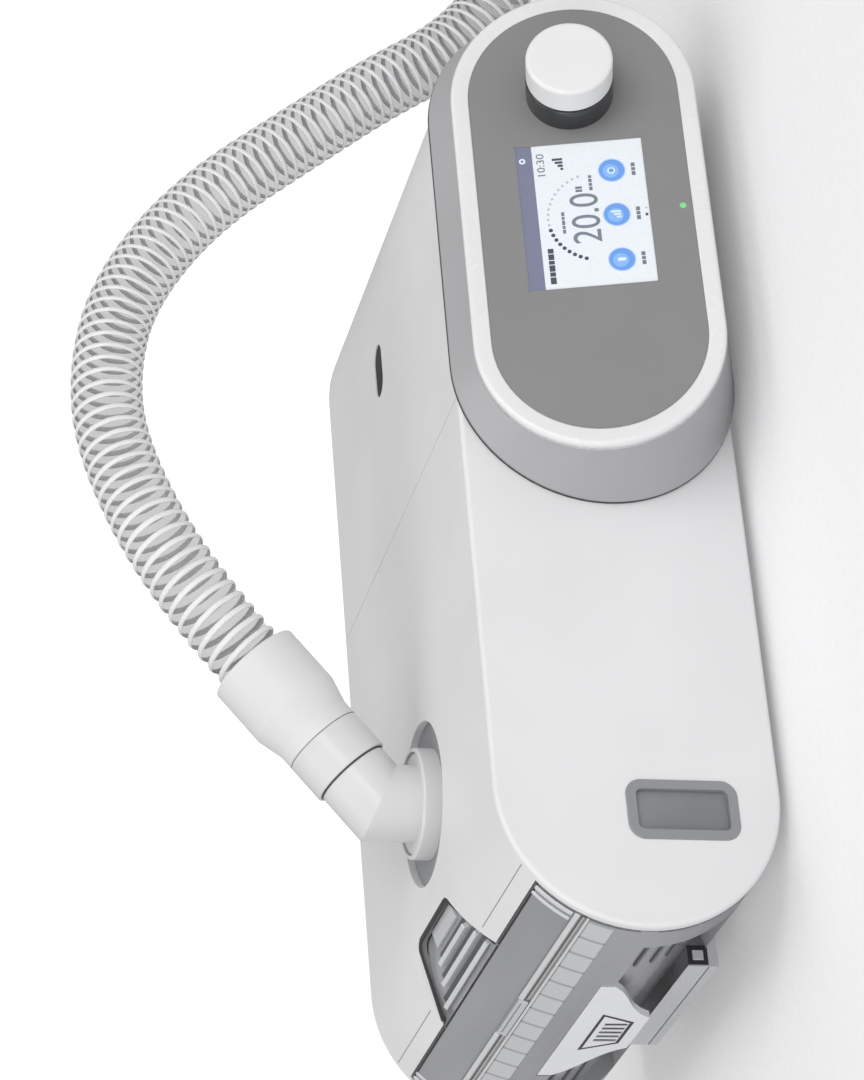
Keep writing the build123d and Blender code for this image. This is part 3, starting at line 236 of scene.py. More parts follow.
def foam(name, base):
    """Open-cell foam or filter wool."""
    m = Nodes(name)
    cells = m.add("ShaderNodeTexVoronoi")
    cells.inputs["Scale"].default_value = 900.0
    m.link(m.place, cells.inputs["Vector"])
    m.link(m.mix(cells.outputs["Distance"], shade(base, 0.6), shade(base, 1.15)),
           m.shader.inputs["Base Color"])
    m.bump(cells.outputs["Distance"], 0.8, 0.0003)
    m.shader.inputs["Roughness"].default_value = 0.95
    return m.material


def circuit(name):
    """Green circuit board with copper lanes."""
    m = Nodes(name)
    lanes = m.add("ShaderNodeTexBrick")
    lanes.inputs["Scale"].default_value = 160.0
    lanes.inputs["Color1"].default_value = colour(18, 84, 48)
    lanes.inputs["Color2"].default_value = colour(22, 96, 56)
    lanes.inputs["Mortar"].default_value = colour(120, 140, 60)
    lanes.inputs["Mortar Size"].default_value = 0.012
    m.link(m.place, lanes.inputs["Vector"])
    m.link(lanes.outputs["Color"], m.shader.inputs["Base Color"])
    m.bump(lanes.outputs["Fac"], 0.4, 0.0001)
    m.shader.inputs["Roughness"].default_value = 0.35
    return m.material


def lit(name, base, glow, rough=0.2):
    """Something that shines a little of its own colour, such as a screen."""
    m = Nodes(name)
    pixels = m.spread(m.noise(1500.0, 1.0), 0.0, 1.0)
    tint = m.mix(pixels, shade(base, 0.97), shade(base, 1.02))
    m.link(tint, m.shader.inputs["Base Color"])
    m.link(tint, m.shader.inputs["Emission Color"])
    m.link(m.spread(m.noise(70.0), rough - 0.05, rough + 0.05), m.shader.inputs["Roughness"])
    m.set(glow=glow)
    return m.material


def wound(name, bead_tone, web_tone, web_alpha):
    """A clear hose skin with an opaque bead, told apart by the mesh's own mark."""
    m = Nodes(name)
    mark = m.add("ShaderNodeAttribute", attribute_name="bead").outputs["Fac"]
    drift = m.spread(m.noise(30.0, 2.0), 0.0, 1.0)
    bead_tint = m.mix(drift, shade(bead_tone, 0.97), shade(bead_tone, 1.02))
    # The web's grey is partly painted shade in the grooves between the beads.
    web_tint = m.mix(drift, shade(web_tone, 0.85), shade(web_tone, 1.15))
    edge = m.spread(mark, 0.0, 1.0)
    m.link(m.mix(edge, web_tint, bead_tint), m.shader.inputs["Base Color"])
    m.link(m.spread(mark, web_alpha, 1.0), m.shader.inputs["Alpha"])
    m.link(m.spread(m.noise(70.0, 3.0), 0.28, 0.42), m.shader.inputs["Roughness"])
    m.bump(m.noise(500.0, 2.0), 0.2, 0.00004)
    return m.material


WHITE = colour(236, 236, 237)
MATERIALS = {
    "shell_white": moulded("shell_white", WHITE, 0.42),
    "base_white": moulded("base_white", WHITE, 0.44),
    # The pod is the same white plastic as the body; its grey colour is painted shade.
    "pod_white": moulded("pod_white", colour(174, 174, 176), 0.36, coat=0.1),
    "rim_white": moulded("rim_white", colour(240, 240, 241), 0.28, vary=0.008, coat=0.3,
                         coat_rough=0.2),
    "fitting_white": moulded("fitting_white", colour(224, 224, 225), 0.34, coat=0.2),
    "cuff_white": moulded("cuff_white", colour(230, 230, 231), 0.5, depth=0.00005),
    "knob_white": moulded("knob_white", colour(242, 242, 242), 0.36),
    "bezel_grey": moulded("bezel_grey", colour(146, 147, 149), 0.34, coat=0.2),
    "panel_grey": moulded("panel_grey", colour(141, 141, 141), 0.42, depth=0.00002, vary=0.015),
    "collar_dark": moulded("collar_dark", colour(56, 57, 59), 0.3, coat=0.2),
    # The outlet dish's grey is painted shade in its recess.
    "dish_grey": moulded("dish_grey", colour(150, 151, 153), 0.5),
    "tank_frame": moulded("tank_frame", colour(204, 205, 207), 0.3, coat=0.2),
    "latch_grey": moulded("latch_grey", colour(242, 243, 245), 0.26, coat=0.3),
    "tray_black": moulded("tray_black", colour(38, 38, 40), 0.5),
    "screen_body": moulded("screen_body", colour(52, 52, 56), 0.5),
    "blower_grey": moulded("blower_grey", colour(84, 86, 88), 0.45),
    "impeller_white": moulded("impeller_white", colour(222, 221, 216), 0.4),
    "mount_rubber": moulded("mount_rubber", colour(40, 40, 41), 0.75, 500.0, 0.0001),
    "pad_dark": moulded("pad_dark", colour(120, 62, 34), 0.6),
    "button_black": moulded("button_black", colour(12, 12, 18), 0.4, specular=0.2),
    "seal_silicone": moulded("seal_silicone", colour(208, 208, 206), 0.55, sheen=0.2),
    # The grey between the hose's beads is partly its clear skin and partly painted shade in the
    # grooves.
    "hose_white": wound("hose_white", colour(240, 240, 241), colour(92, 93, 96), 0.36),
    "plate_metal": brushed("plate_metal", colour(205, 205, 208)),
    "spring_steel": brushed("spring_steel", colour(170, 170, 174), 0.28, (20, 20, 1)),
    "shaft_steel": brushed("shaft_steel", colour(168, 168, 172), 0.25, (30, 30, 1)),
    "motor_body": brushed("motor_body", colour(150, 150, 154), 0.35, (1, 1, 30)),
    "smoky_clear": smoky("smoky_clear", colour(154, 156, 160), 0.6),
    "tank_smoke": smoky("tank_smoke", colour(176, 177, 179), 0.76, 0.16),
    "foam_dark": foam("foam_dark", colour(60, 60, 62)),
    "filter_grey": foam("filter_grey", colour(196, 197, 198)),
    "board_green": circuit("board_green"),
    "screen_face": lit("screen_face", colour(230, 235, 240), 0.16),
    "lamp_green": lit("lamp_green", colour(120, 205, 130), 0.35),
    "seam_dark": moulded("seam_dark", colour(70, 70, 72), 0.6),
    "seam_grey": moulded("seam_grey", colour(140, 140, 142), 0.6),
    "tank_edge": moulded("tank_edge", colour(222, 223, 225), 0.18, coat=0.5),
    "tank_cell": moulded("tank_cell", colour(208, 209, 211), 0.3, coat=0.3),
    "tank_line": moulded("tank_line", colour(172, 173, 175), 0.4),
    "tank_dark": moulded("tank_dark", colour(92, 94, 97), 0.4),
    "edge_dark": moulded("edge_dark", colour(44, 45, 47), 0.5),
    "ink_reading": lit("ink_reading", colour(116, 124, 136), 0.3),
    "ink_header": lit("ink_header", colour(122, 124, 148), 0.2),
    "ink_dark": lit("ink_dark", colour(70, 78, 88), 0.3),
    "ink_mid": lit("ink_mid", colour(112, 118, 128), 0.3),
    "ink_light": lit("ink_light", colour(176, 184, 192), 0.3),
    "ink_pale": lit("ink_pale", colour(214, 222, 236), 0.3),
    "ink_rim": lit("ink_rim", colour(178, 200, 236), 0.3),
    "ink_blue": lit("ink_blue", colour(104, 150, 218), 0.3),
    "ink_sky": lit("ink_sky", colour(128, 174, 230), 0.3),
}

for part in frame["record"]["subparts"]:
    mesh = frame["nodes"][part["node"]].data
    mesh.materials.clear()
    mesh.materials.append(MATERIALS[part["material_slot"]])


# --------------------------------------------------------------- mesh builders
def piece(name, verts, faces, slot, body, smooth=True):
    """A mesh in the row frame with a material and a body to ride on."""
    mesh = bpy.data.meshes.new(name)
    mesh.from_pydata([tuple(v) for v in verts], [], faces)
    mesh.materials.append(MATERIALS[slot])
    tidy = bmesh.new()
    tidy.from_mesh(mesh)
    bmesh.ops.remove_doubles(tidy, verts=tidy.verts, dist=1e-7)
    bmesh.ops.recalc_face_normals(tidy, faces=tidy.faces)
    tidy.to_mesh(mesh)
    tidy.free()
    for face in mesh.polygons:
        face.use_smooth = smooth
    obj = bpy.data.objects.new(name, mesh)
    bpy.context.scene.collection.objects.link(obj)
    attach(obj, body)
    return obj


def soften(obj, width, segments=2, angle=35):
    """Rounds the sharp edges of a piece."""
    bevel = obj.modifiers.new("soft edges", "BEVEL")
    bevel.width = width
    bevel.segments = segments
    bevel.limit_method = "ANGLE"
    bevel.angle_limit = math.radians(angle)
    bevel.harden_normals = False
    return obj


def grid_faces(rows, columns):
    """Quads between rings of points that lie one after another."""
    faces = []
    for i in range(rows - 1):
        for j in range(columns):
            k = (j + 1) % columns
            a, b = i * columns, (i + 1) * columns
            faces.append((a + j, a + k, b + k, b + j))
    return faces


def lathe(name, origin, axis, profile, slot, body, steps=72):
    """A turned piece: profile is (radius, distance along the axis), closed on itself."""
    axis = axis.normalized()
    side = axis.orthogonal().normalized()
    other = axis.cross(side)
    verts = []
    for r, w in profile:
        for j in range(steps):
            a = 2 * math.pi * j / steps
            verts.append(origin + axis * w + (side * math.cos(a) + other * math.sin(a)) * r)
    faces = grid_faces(len(profile), steps)
    last = (len(profile) - 1) * steps
    for j in range(steps):
        k = (j + 1) % steps
        faces.append((last + j, last + k, k, j))
    return piece(name, verts, faces, slot, body)


def stadium(radius, steps=36):
    """Points round a stadium on the control face, as (along, up)."""
    points = []
    for side, centre in ((1, FACE_SPAN), (-1, 0.0)):
        for i in range(steps + 1):
            a = -math.pi / 2 + math.pi * i / steps
            points.append((centre + side * radius * math.cos(a), side * radius * math.sin(a)))
    return points


def stadium_ring(name, profile, slot, body):
    """A ring round the control face: profile is (radius, out), closed on itself."""
    verts = [on_face(u, v, w) for r, w in profile for u, v in stadium(r)]
    count = len(stadium(1.0))
    faces = grid_faces(len(profile), count)
    last = (len(profile) - 1) * count
    for j in range(count):
        k = (j + 1) % count
        faces.append((last + j, last + k, k, j))
    return piece(name, verts, faces, slot, body)


def slab(name, outline, low, high, slot, body):
    """A thin plate on the control face, from its outline as (along, up)."""
    n = len(outline)
    verts = [on_face(u, v, low) for u, v in outline] + [on_face(u, v, high) for u, v in outline]
    faces = [tuple(range(n)), tuple(range(n, 2 * n))]
    faces += [(i, (i + 1) % n, n + (i + 1) % n, n + i) for i in range(n)]
    return piece(name, verts, faces, slot, body, smooth=False)


def bar(name, low, high, slot, body, edge=0.0004):
    """A small rounded block between two corners."""
    verts = [
        (x, y, z) for x in (low[0], high[0]) for y in (low[1], high[1]) for z in (low[2], high[2])
    ]
    faces = [(0, 1, 3, 2), (4, 6, 7, 5), (0, 4, 5, 1), (2, 3, 7, 6), (0, 2, 6, 4), (1, 5, 7, 3)]
    return soften(piece(name, verts, faces, slot, body, smooth=False), edge, 3)


def shell_point(angle, y, inset):
    """A point on the body's left round, by its angle from straight up."""
    r = RADIUS - inset
    return Vector((LEFT_X - r * math.sin(angle), y, MID_Z + r * math.cos(angle)))


def shell_strip(name, y0, y1, angle0, angle1, inset0, inset1, slot, body, steps=10):
    """A strip that follows the left round between two angles and two depths."""
    verts = []
    for inset in (inset0, inset1):
        for y in (y0, y1):
            for i in range(steps + 1):
                a = math.radians(angle0 + (angle1 - angle0) * i / steps)
                verts.append(shell_point(a, y, inset))
    n = steps + 1
    rings = [[k * n + i for k in (0, 1, 3, 2)] for i in range(n)]
    faces = [tuple(rings[0]), tuple(reversed(rings[-1]))]
    for a, b in zip(rings, rings[1:]):
        faces += [(a[k], a[(k + 1) % 4], b[(k + 1) % 4], b[k]) for k in range(4)]
    return soften(piece(name, verts, faces, slot, body, smooth=False), 0.0003, 2)


# ---------------------------------------------------------------------- camera
FOCAL_PX = 3549.544
LONG_SIDE_PX = 1080
AZIMUTH = math.radians(28.797)
ELEVATION = math.radians(13.438)
ROLL = math.radians(2.42)
# From the left round's lowest front point.
CAMERA_FROM_CORNER = Vector((-447.2, -968.5, 370.8)) * MM

ahead = Vector((
    math.sin(AZIMUTH) * math.cos(ELEVATION),
    math.cos(AZIMUTH) * math.cos(ELEVATION),
    -math.sin(ELEVATION),
))
level = Vector((math.cos(AZIMUTH), -math.sin(AZIMUTH), 0))
above = level.cross(ahead)
photo_up = level * math.cos(ROLL) + above * math.sin(ROLL)
photo_left = above * math.cos(ROLL) - level * math.sin(ROLL)

camera_data = bpy.data.cameras.new("camera")
camera_data.sensor_width = 36.0
camera_data.lens = FOCAL_PX * camera_data.sensor_width / LONG_SIDE_PX
camera_data.clip_start = 0.01
camera_data.clip_end = 100
camera = bpy.data.objects.new("camera", camera_data)
bpy.context.scene.collection.objects.link(camera)
camera.matrix_world = Matrix.Translation(
    Vector((LEFT_X, FRONT_Y, BASE_Z)) + CAMERA_FROM_CORNER
) @ Matrix((-photo_left, photo_up, -ahead)).transposed().to_4x4()
bpy.context.scene.camera = camera

# ------------------------------------------------------------------------ hose
HOSE_RADIUS = 13.0 * MM
HOSE_CORE = 11.8 * MM
BEAD_HALF = 1.25 * MM
BEAD_PITCH = 5.4 * MM
HOSE_LEAD = 38.6 * MM
HOSE_STEPS = [
    (82.7, 7.9, 1.314),
    (118.7, 12.0, 1.328),
    (157.7, 18.3, 1.257),
    (201.7, 25.1, 1.044),
    (241.2, 30.6, 0.718),
    (266.7, 34.3, 0.506),
    (287.7, 36.0, 0.290),
    (310.5, 35.4, 0.149),
    (337.6, 35.0, 0.053),
    (372.4, 36.8, 0.0),
    (405.9, 39.4, 0.0),
    (437.9, 38.0, 0.0),
    (466.9, 38.0, 0.0),
]
COIL_RADIUS = 130.0 * MM
COIL_TURN = math.radians(545)
COIL_RAMP = (math.radians(255), math.radians(315))
COIL_RISE = 27.2 * MM
COIL_POINTS = 36


def coil_place(turn, radius):
    """A point of the coil, clockwise seen from above, by how far round it is."""
    share = min(1.0, max(0.0, (turn - COIL_RAMP[0]) / (COIL_RAMP[1] - COIL_RAMP[0])))
    rise = COIL_RISE * share * share * (3 - 2 * share)
    return coil_centre + Vector((math.sin(turn), math.cos(turn), 0)) * radius + UP * rise


hose_route = [HOSE_EXIT, HOSE_EXIT + ARM_DIR * HOSE_LEAD]
for along, across, share in HOSE_STEPS:
    height = HOSE_RADIUS + share * (HOSE_EXIT.z - HOSE_RADIUS)
    hose_route.append(Vector((HOSE_EXIT.x + along * MM, HOSE_EXIT.y + across * MM, height)))
coil_centre = hose_route[-1] - Vector((0, COIL_RADIUS, 0))
coil_step = COIL_TURN / COIL_POINTS
for i in range(COIL_POINTS):
    hose_route.append(coil_place((i + 0.5) * coil_step, COIL_RADIUS / math.cos(coil_step / 2)))
hose_route.append(coil_place(COIL_TURN, COIL_RADIUS))


def route_points(route):
    """Closely spaced points along a smooth curve that the route's points pull on."""
    data = bpy.data.curves.new("hose_line", "CURVE")
    data.dimensions = "3D"
    data.resolution_u = 16
    spline = data.splines.new("NURBS")
    spline.points.add(len(route) - 1)
    for point, place in zip(spline.points, route):
        point.co = (*place, 1)
    spline.order_u = 3
    spline.use_endpoint_u = True
    line = bpy.data.objects.new("hose_line", data)
    bpy.context.scene.collection.objects.link(line)
    bpy.context.view_layer.update()
    graph = bpy.context.evaluated_depsgraph_get()
    mesh = bpy.data.meshes.new_from_object(line.evaluated_get(graph))
    points = [v.co.copy() for v in mesh.vertices]
    bpy.data.objects.remove(line)
    bpy.data.curves.remove(data)
    bpy.data.meshes.remove(mesh)
    return points


def respaced(points, spacing):
    """The same line with evenly spaced points, each with how far along it is."""
    reach = [0.0]
    for a, b in zip(points, points[1:]):
        reach.append(reach[-1] + (b - a).length)
    count = round(reach[-1] / spacing)
    found = []
    k = 0
    for i in range(count + 1):
        at = reach[-1] * i / count
        while k < len(reach) - 2 and reach[k + 1] < at:
            k += 1
        t = (at - reach[k]) / (reach[k + 1] - reach[k])
        found.append((points[k].lerp(points[k + 1], t), at))
    return found


def bead(along, angle):
    """How far out the hose's skin is, 0 in a groove to 1 on its spiral bead."""
    turns = along / BEAD_PITCH - angle / (2 * math.pi)
    away = abs((turns % 1.0) - 0.5) * BEAD_PITCH
    return math.sqrt(max(0.0, 1 - (away / BEAD_HALF) ** 2))


def corrugated(name, points, steps=32):
    """A tube along evenly spaced points, with a spiral bead and its grooves marked."""
    verts = []
    marks = []
    side = ARM_DIR.cross(Vector((0, 1, 0))).normalized()
    for i, (centre, along) in enumerate(points):
        before = points[max(0, i - 1)][0]
        after = points[min(len(points) - 1, i + 1)][0]
        ahead_here = (after - before).normalized()
        side = (side - ahead_here * side.dot(ahead_here)).normalized()
        other = ahead_here.cross(side)
        for j in range(steps):
            angle = 2 * math.pi * j / steps
            out = bead(along, angle)
            r = HOSE_CORE + (HOSE_RADIUS - 0.1 * MM - HOSE_CORE) * out
            verts.append(centre + (side * math.cos(angle) + other * math.sin(angle)) * r)
            marks.append(out)
    faces = grid_faces(len(points), steps)
    faces += [tuple(range(steps)), tuple(range(len(verts) - steps, len(verts)))]
    tube = piece(name, verts, faces, "hose_white", "machine")
    mark = tube.data.attributes.new("bead", "FLOAT", "POINT")
    mark.data.foreach_set("value", marks)
    return tube


hose_line = respaced(route_points(hose_route), BEAD_PITCH / 10)
hose_piece = corrugated("air_hose", hose_line)
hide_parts("hose", "hose_coil")

# ---------------------------------------------- soft cuff at the hose's far end
MASK_RIBS = 5
mask_from = coil_place(COIL_TURN, COIL_RADIUS)
mask_dir = Vector((math.cos(COIL_TURN), -math.sin(COIL_TURN), 0))


def mask_cuff_profile():
    """The cuff's section: a soft lip at each end, and grip ribs between."""
    points = [(10.0, 0.0), (13.2, 0.0), (13.9, 0.8), (13.9, 5.2), (13.2, 6.0)]
    for i in range(MASK_RIBS):
        start = 8.0 + 3.2 * i
        points += [(13.2, start), (13.75, start + 0.6), (13.75, start + 1.4), (13.2, start + 2.0)]
    points += [(13.2, 26.5), (13.9, 27.5), (13.9, 35.0), (13.3, 36.0), (11.4, 36.0)]
    points += [(11.1, 35.6), (11.1, 12.0), (10.0, 12.0)]
    return [(r * MM, w * MM) for r, w in points]


mask_piece = lathe("hose_end_cuff", mask_from, mask_dir, mask_cuff_profile(), "cuff_white",
                   "machine")
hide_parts("mask_cuff")

# ------------------------------------------------------- elbow's joints and lip
SLEEVE_FROM = 13.7 * MM
SLEEVE_TO = 28.4 * MM


def arm_ring(name, start, end, inner, outer, slot):
    """A plain ring round the elbow's arm."""
    profile = [(inner, start), (outer, start), (outer, end), (inner, end)]
    return lathe(name, BEND, ARM_DIR, profile, slot, "machine")


# A dark ring painted as the shade in the groove between the elbow and its sleeve.
arm_ring("elbow_groove_shade", SLEEVE_FROM - 0.35 * MM, SLEEVE_FROM + 0.2 * MM, 12.0 * MM, 13.25 * MM,
         "seam_dark")
arm_ring("cuff_groove", SLEEVE_TO - 0.05 * MM, SLEEVE_TO + 0.25 * MM, 12.0 * MM, 14.0 * MM,
         "seam_grey")

# --------------------------------------------------------------- seams and gaps
SEAM_ANGLE = 33.0
GRIP_HALF = 37.0 * MM
FRONT_PLATE = 3.0 * MM
for name, y0, y1 in (
    ("top_seam_front", FRONT_Y + FRONT_PLATE, MID_Y - GRIP_HALF),
    ("top_seam_back", MID_Y + GRIP_HALF, BACK_Y - FRONT_PLATE),
):
    shell_strip(name, y0, y1, SEAM_ANGLE - 0.2, SEAM_ANGLE + 0.2, -0.04 * MM, 0.4 * MM,
                "seam_grey", "machine")

POD_RADIUS = 48.8 * MM
POD_LEFT = FACE_O.x


def pod_gap_shade():
    """A dark ring painted as the shade in the gap where the pod meets the body."""
    verts = []
    for r, y in ((-0.8, -1.0), (0.12, -1.0), (0.12, -0.05), (-0.8, -0.05)):
        for u, v in stadium(POD_RADIUS + r * MM):
            verts.append(Vector((POD_LEFT + u, FRONT_Y + y * MM, MID_Z + v)))
    count = len(stadium(1.0))
    faces = grid_faces(4, count)
    last = 3 * count
    faces += [(last + j, last + (j + 1) % count, (j + 1) % count, j) for j in range(count)]
    return piece("pod_gap_shade", verts, faces, "seam_dark", "machine")


pod_gap_shade()

# ---------------------------------------------------------------- rim and panel
rim_section = [
    (PANEL_RADIUS, -PANEL_THICK),
    (PANEL_RADIUS + 0.05 * MM, 0.0),
    (PANEL_RADIUS + 0.4 * MM, 0.08 * MM),
    (39.3 * MM, 0.36 * MM),
    (39.9 * MM, RIM_PROUD),
    (40.5 * MM, RIM_PROUD),
    (41.0 * MM, 0.2 * MM),
    (41.35 * MM, -0.25 * MM),
    (RIM_RADIUS, -0.9 * MM),
    (RIM_RADIUS, -RIM_DEPTH),
    (RIM_INNER, -RIM_DEPTH),
    (RIM_INNER, -PANEL_THICK),
]
rim_piece = stadium_ring("pod_rim", rim_section, "rim_white", "machine")
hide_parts("panel_rim")
stadium_ring(
    "panel_gap",
    [(r * MM, w * MM) for r, w in ((35.2, -0.4), (35.52, -0.4), (35.52, 0.03), (35.2, 0.03))],
    "seam_grey",
    "machine",
)

# ---------------------------------------------------------------------- screen
SCREEN_U = 46.9 * MM
SCREEN_V = 0.2 * MM
SCREEN_HALF_W = 28.8 * MM
SCREEN_HALF_H = 21.6 * MM
GLASS_SINK = -0.3 * MM
INK = 0.06 * MM  # how far the picture's shapes stand off the glass


def screen_box(name, u0, u1, v0, v1, slot, level=1):
    """A flat rectangle on the screen, by millimetres from its centre."""
    outline = [
        (SCREEN_U + u * MM, SCREEN_V + v * MM)
        for u, v in ((u0, v0), (u1, v0), (u1, v1), (u0, v1))
    ]
    return slab(name, outline, GLASS_SINK, GLASS_SINK + level * INK, slot, "machine")


def screen_disc(name, u, v, radius, slot, level=1, steps=28):
    """A flat disc on the screen, by millimetres from its centre."""
    outline = []
    for i in range(steps):
        a = 2 * math.pi * i / steps
        outline.append((SCREEN_U + (u + radius * math.cos(a)) * MM,
                        SCREEN_V + (v + radius * math.sin(a)) * MM))
    return slab(name, outline, GLASS_SINK, GLASS_SINK + level * INK, slot, "machine")


def screen_text(name, text, u0, u1, v0, v1, slot):
    """Figures on the screen, stretched to fill a rectangle."""
    data = bpy.data.curves.new(name, "FONT")
    data.body = text
    data.extrude = 0.5
    maker = bpy.data.objects.new(name, data)
    bpy.context.scene.collection.objects.link(maker)
    bpy.context.view_layer.update()
    graph = bpy.context.evaluated_depsgraph_get()
    mesh = bpy.data.meshes.new_from_object(maker.evaluated_get(graph))
    bpy.data.objects.remove(maker)
    bpy.data.curves.remove(data)
    low = Vector(min(v.co[k] for v in mesh.vertices) for k in range(3))
    high = Vector(max(v.co[k] for v in mesh.vertices) for k in range(3))
    verts = []
    for v in mesh.vertices:
        share = [(v.co[k] - low[k]) / (high[k] - low[k]) for k in range(3)]
        verts.append(on_face(
            SCREEN_U + (u0 + (u1 - u0) * share[0]) * MM,
            SCREEN_V + (v0 + (v1 - v0) * share[1]) * MM,
            GLASS_SINK + share[2] * INK,
        ))
    faces = [tuple(f.vertices) for f in mesh.polygons]
    bpy.data.meshes.remove(mesh)
    return piece(name, verts, faces, slot, "machine", smooth=False)


def word_bars(name, u0, widths, v, height, slot, space=0.35):
    """Short bars in a row where a screen would show a word."""
    at = u0
    for i, width in enumerate(widths):
        screen_box(f"{name}_{i}", at, at + width, v - height / 2, v + height / 2, slot)
        at += width + space


screen_box("screen_header", -SCREEN_HALF_W / MM, SCREEN_HALF_W / MM, 15.8, SCREEN_HALF_H / MM,
           "ink_header")
screen_disc("header_mark", 22.8, 19.2, 1.1, "ink_pale", 2)
screen_disc("header_mark_middle", 22.8, 19.2, 0.45, "ink_header", 3)
word_bars("mode_word", -26.3, (2.6, 1.6, 2.4, 1.4, 2.2, 1.8), 12.9, 1.9, "ink_dark")
screen_text("clock", "10:30", 16.4, 25.2, 11.9, 14.5, "ink_mid")
word_bars("heading_word", -7.0, (1.5, 1.2, 1.7, 1.1, 1.5), 7.6, 1.0, "ink_mid")
screen_text("reading", "20.0", -11.4, 8.1, -4.6, 4.9, "ink_reading")
word_bars("unit_top", 8.9, (0.9, 0.9), 1.4, 2.2, "ink_mid")
word_bars("unit_word", 9.2, (1.4, 1.1, 1.4, 1.0), -2.7, 1.1, "ink_mid")

GAUGE_CENTRE = (-1.2, -4.6)
GAUGE_RADIUS = 17.2
GAUGE_DOTS = 21
GAUGE_DARK = 9
GAUGE_FROM = 160.0
GAUGE_TO = 20.0
for i in range(GAUGE_DOTS):
    a = math.radians(GAUGE_FROM + (GAUGE_TO - GAUGE_FROM) * i / (GAUGE_DOTS - 1))
    filled = i < GAUGE_DARK
    screen_disc(
        f"gauge_dot_{i}",
        GAUGE_CENTRE[0] + GAUGE_RADIUS * math.cos(a),
        GAUGE_CENTRE[1] + GAUGE_RADIUS * math.sin(a),
        0.72 if filled else 0.5,
        "ink_dark" if filled else "ink_light",
        steps=12,
    )

for i, u in enumerate((-18.9, -1.2, 16.4)):
    screen_disc(f"dial_edge_{i}", u, -10.3, 4.7, "ink_rim")
    screen_disc(f"dial_{i}", u, -10.3, 4.3, "ink_blue", 2)
    screen_disc(f"dial_light_{i}", u - 0.3, -9.9, 2.7, "ink_sky", 3)
    word_bars(f"dial_word_{i}", u - 2.6, (1.6, 1.2, 1.5), -17.5, 1.3, "ink_mid")
screen_box("dial_mark_drop", -19.5, -18.3, -11.6, -9.0, "ink_pale", 4)
for i in range(3):
    screen_box(f"dial_mark_bar_{i}", -2.6 + 1.1 * i, -1.9 + 1.1 * i, -11.8, -10.2 + 0.9 * i,
               "ink_pale", 4)
screen_disc("dial_mark_ring", 16.2, -10.1, 1.3, "ink_pale", 4)
screen_disc("dial_mark_ring_middle", 16.2, -10.1, 0.8, "ink_blue", 5)
for i in range(4):
    screen_box(f"signal_bar_{i}", 18.2 + 1.3 * i, 19.1 + 1.3 * i, 5.8, 6.7 + 0.85 * i, "ink_dark")
screen_box("page_mark", -2.6, -1.6, -20.7, -19.8, "ink_dark")
screen_box("page_mark_next", 0.2, 0.9, -20.6, -19.9, "ink_light")
SCREEN_EDGE = 0.35 * MM
SCREEN_EDGE_PROUD = 0.02 * MM
screen_corners = [
    (u * SCREEN_HALF_W, v * SCREEN_HALF_H) for u, v in ((-1, -1), (1, -1), (1, 1), (-1, 1))
]
for i in range(4):
    (u0, v0), (u1, v1) = screen_corners[i], screen_corners[(i + 1) % 4]
    grow_u = SCREEN_EDGE * (u0 == u1)
    grow_v = SCREEN_EDGE * (v0 == v1)
    left, right = SCREEN_U + min(u0, u1) - grow_u, SCREEN_U + max(u0, u1) + grow_u
    bottom, top = SCREEN_V + min(v0, v1) - grow_v, SCREEN_V + max(v0, v1) + grow_v
    slab(f"screen_edge_{i}", [(left, bottom), (right, bottom), (right, top), (left, top)],
         GLASS_SINK, SCREEN_EDGE_PROUD, "seam_grey", "machine")

# ------------------------------------------------------------------- water tank
BAY_ANGLE = 41.0
CLIP_HALF = 16.0 * MM
TANK_FRONT = tub_low.y
TANK_BACK = tub_high.y
STRIP_END = 0.5 * MM  # between a strip and the tank's side
BAND_END = 1.5 * MM  # between the level band and the tank's side
BAND_ANGLES = (66.6, 76.6)
RIDGE_ANGLES = (60.3, 62.3)


def tank_strip(name, y0, y1, angle0, angle1, inset0, inset1, slot):
    return shell_strip(name, y0, y1, angle0, angle1, inset0 * MM, inset1 * MM, slot, "tank")


for name, y0, y1 in (
    ("lid_ridge_front", TANK_FRONT + STRIP_END, MID_Y - CLIP_HALF),
    ("lid_ridge_back", MID_Y + CLIP_HALF, TANK_BACK - STRIP_END),
):
    tank_strip(name, y0, y1, *RIDGE_ANGLES, -0.7, 0.3, "tank_edge")
tank_strip("lid_clip", MID_Y - CLIP_HALF + 0.8 * MM, MID_Y + CLIP_HALF - 0.8 * MM, 60.9, 64.9,
           -0.55, 0.3, "tank_frame")
tank_strip("lid_clip_line", MID_Y - CLIP_HALF + 3 * MM, MID_Y + CLIP_HALF - 3 * MM, 62.2, 62.7,
           -0.62, 0.3, "seam_grey")
for name, angle0, angle1, proud, depth, slot in (
    ("tub_ridge", 65.2, 66.2, -0.45, 0.3, "tank_edge"),
    ("lid_line", 63.0, 63.5, -0.03, 0.5, "seam_dark"),
    ("ridge_shadow", 59.7, 60.2, -0.03, 0.5, "seam_grey"),
):
    tank_strip(name, TANK_FRONT + STRIP_END, TANK_BACK - STRIP_END, angle0, angle1, proud, depth,
               slot)

GROOVE_PITCH = 12.2 * MM
GROOVE_WIDTH = 1.4 * MM
GROOVES = 13
tank_strip("level_band", TANK_FRONT + BAND_END, TANK_BACK - BAND_END, *BAND_ANGLES, -0.05, 0.4,
           "tank_line")
for i in range(GROOVES + 1):
    middle = MID_Y + (i - GROOVES / 2) * GROOVE_PITCH
    half = (GROOVE_PITCH - GROOVE_WIDTH) / 2
    tank_strip(f"level_cell_{i}", max(TANK_FRONT + BAND_END, middle - half),
               min(TANK_BACK - BAND_END, middle + half), *BAND_ANGLES, -0.12, 0.4, "tank_cell")

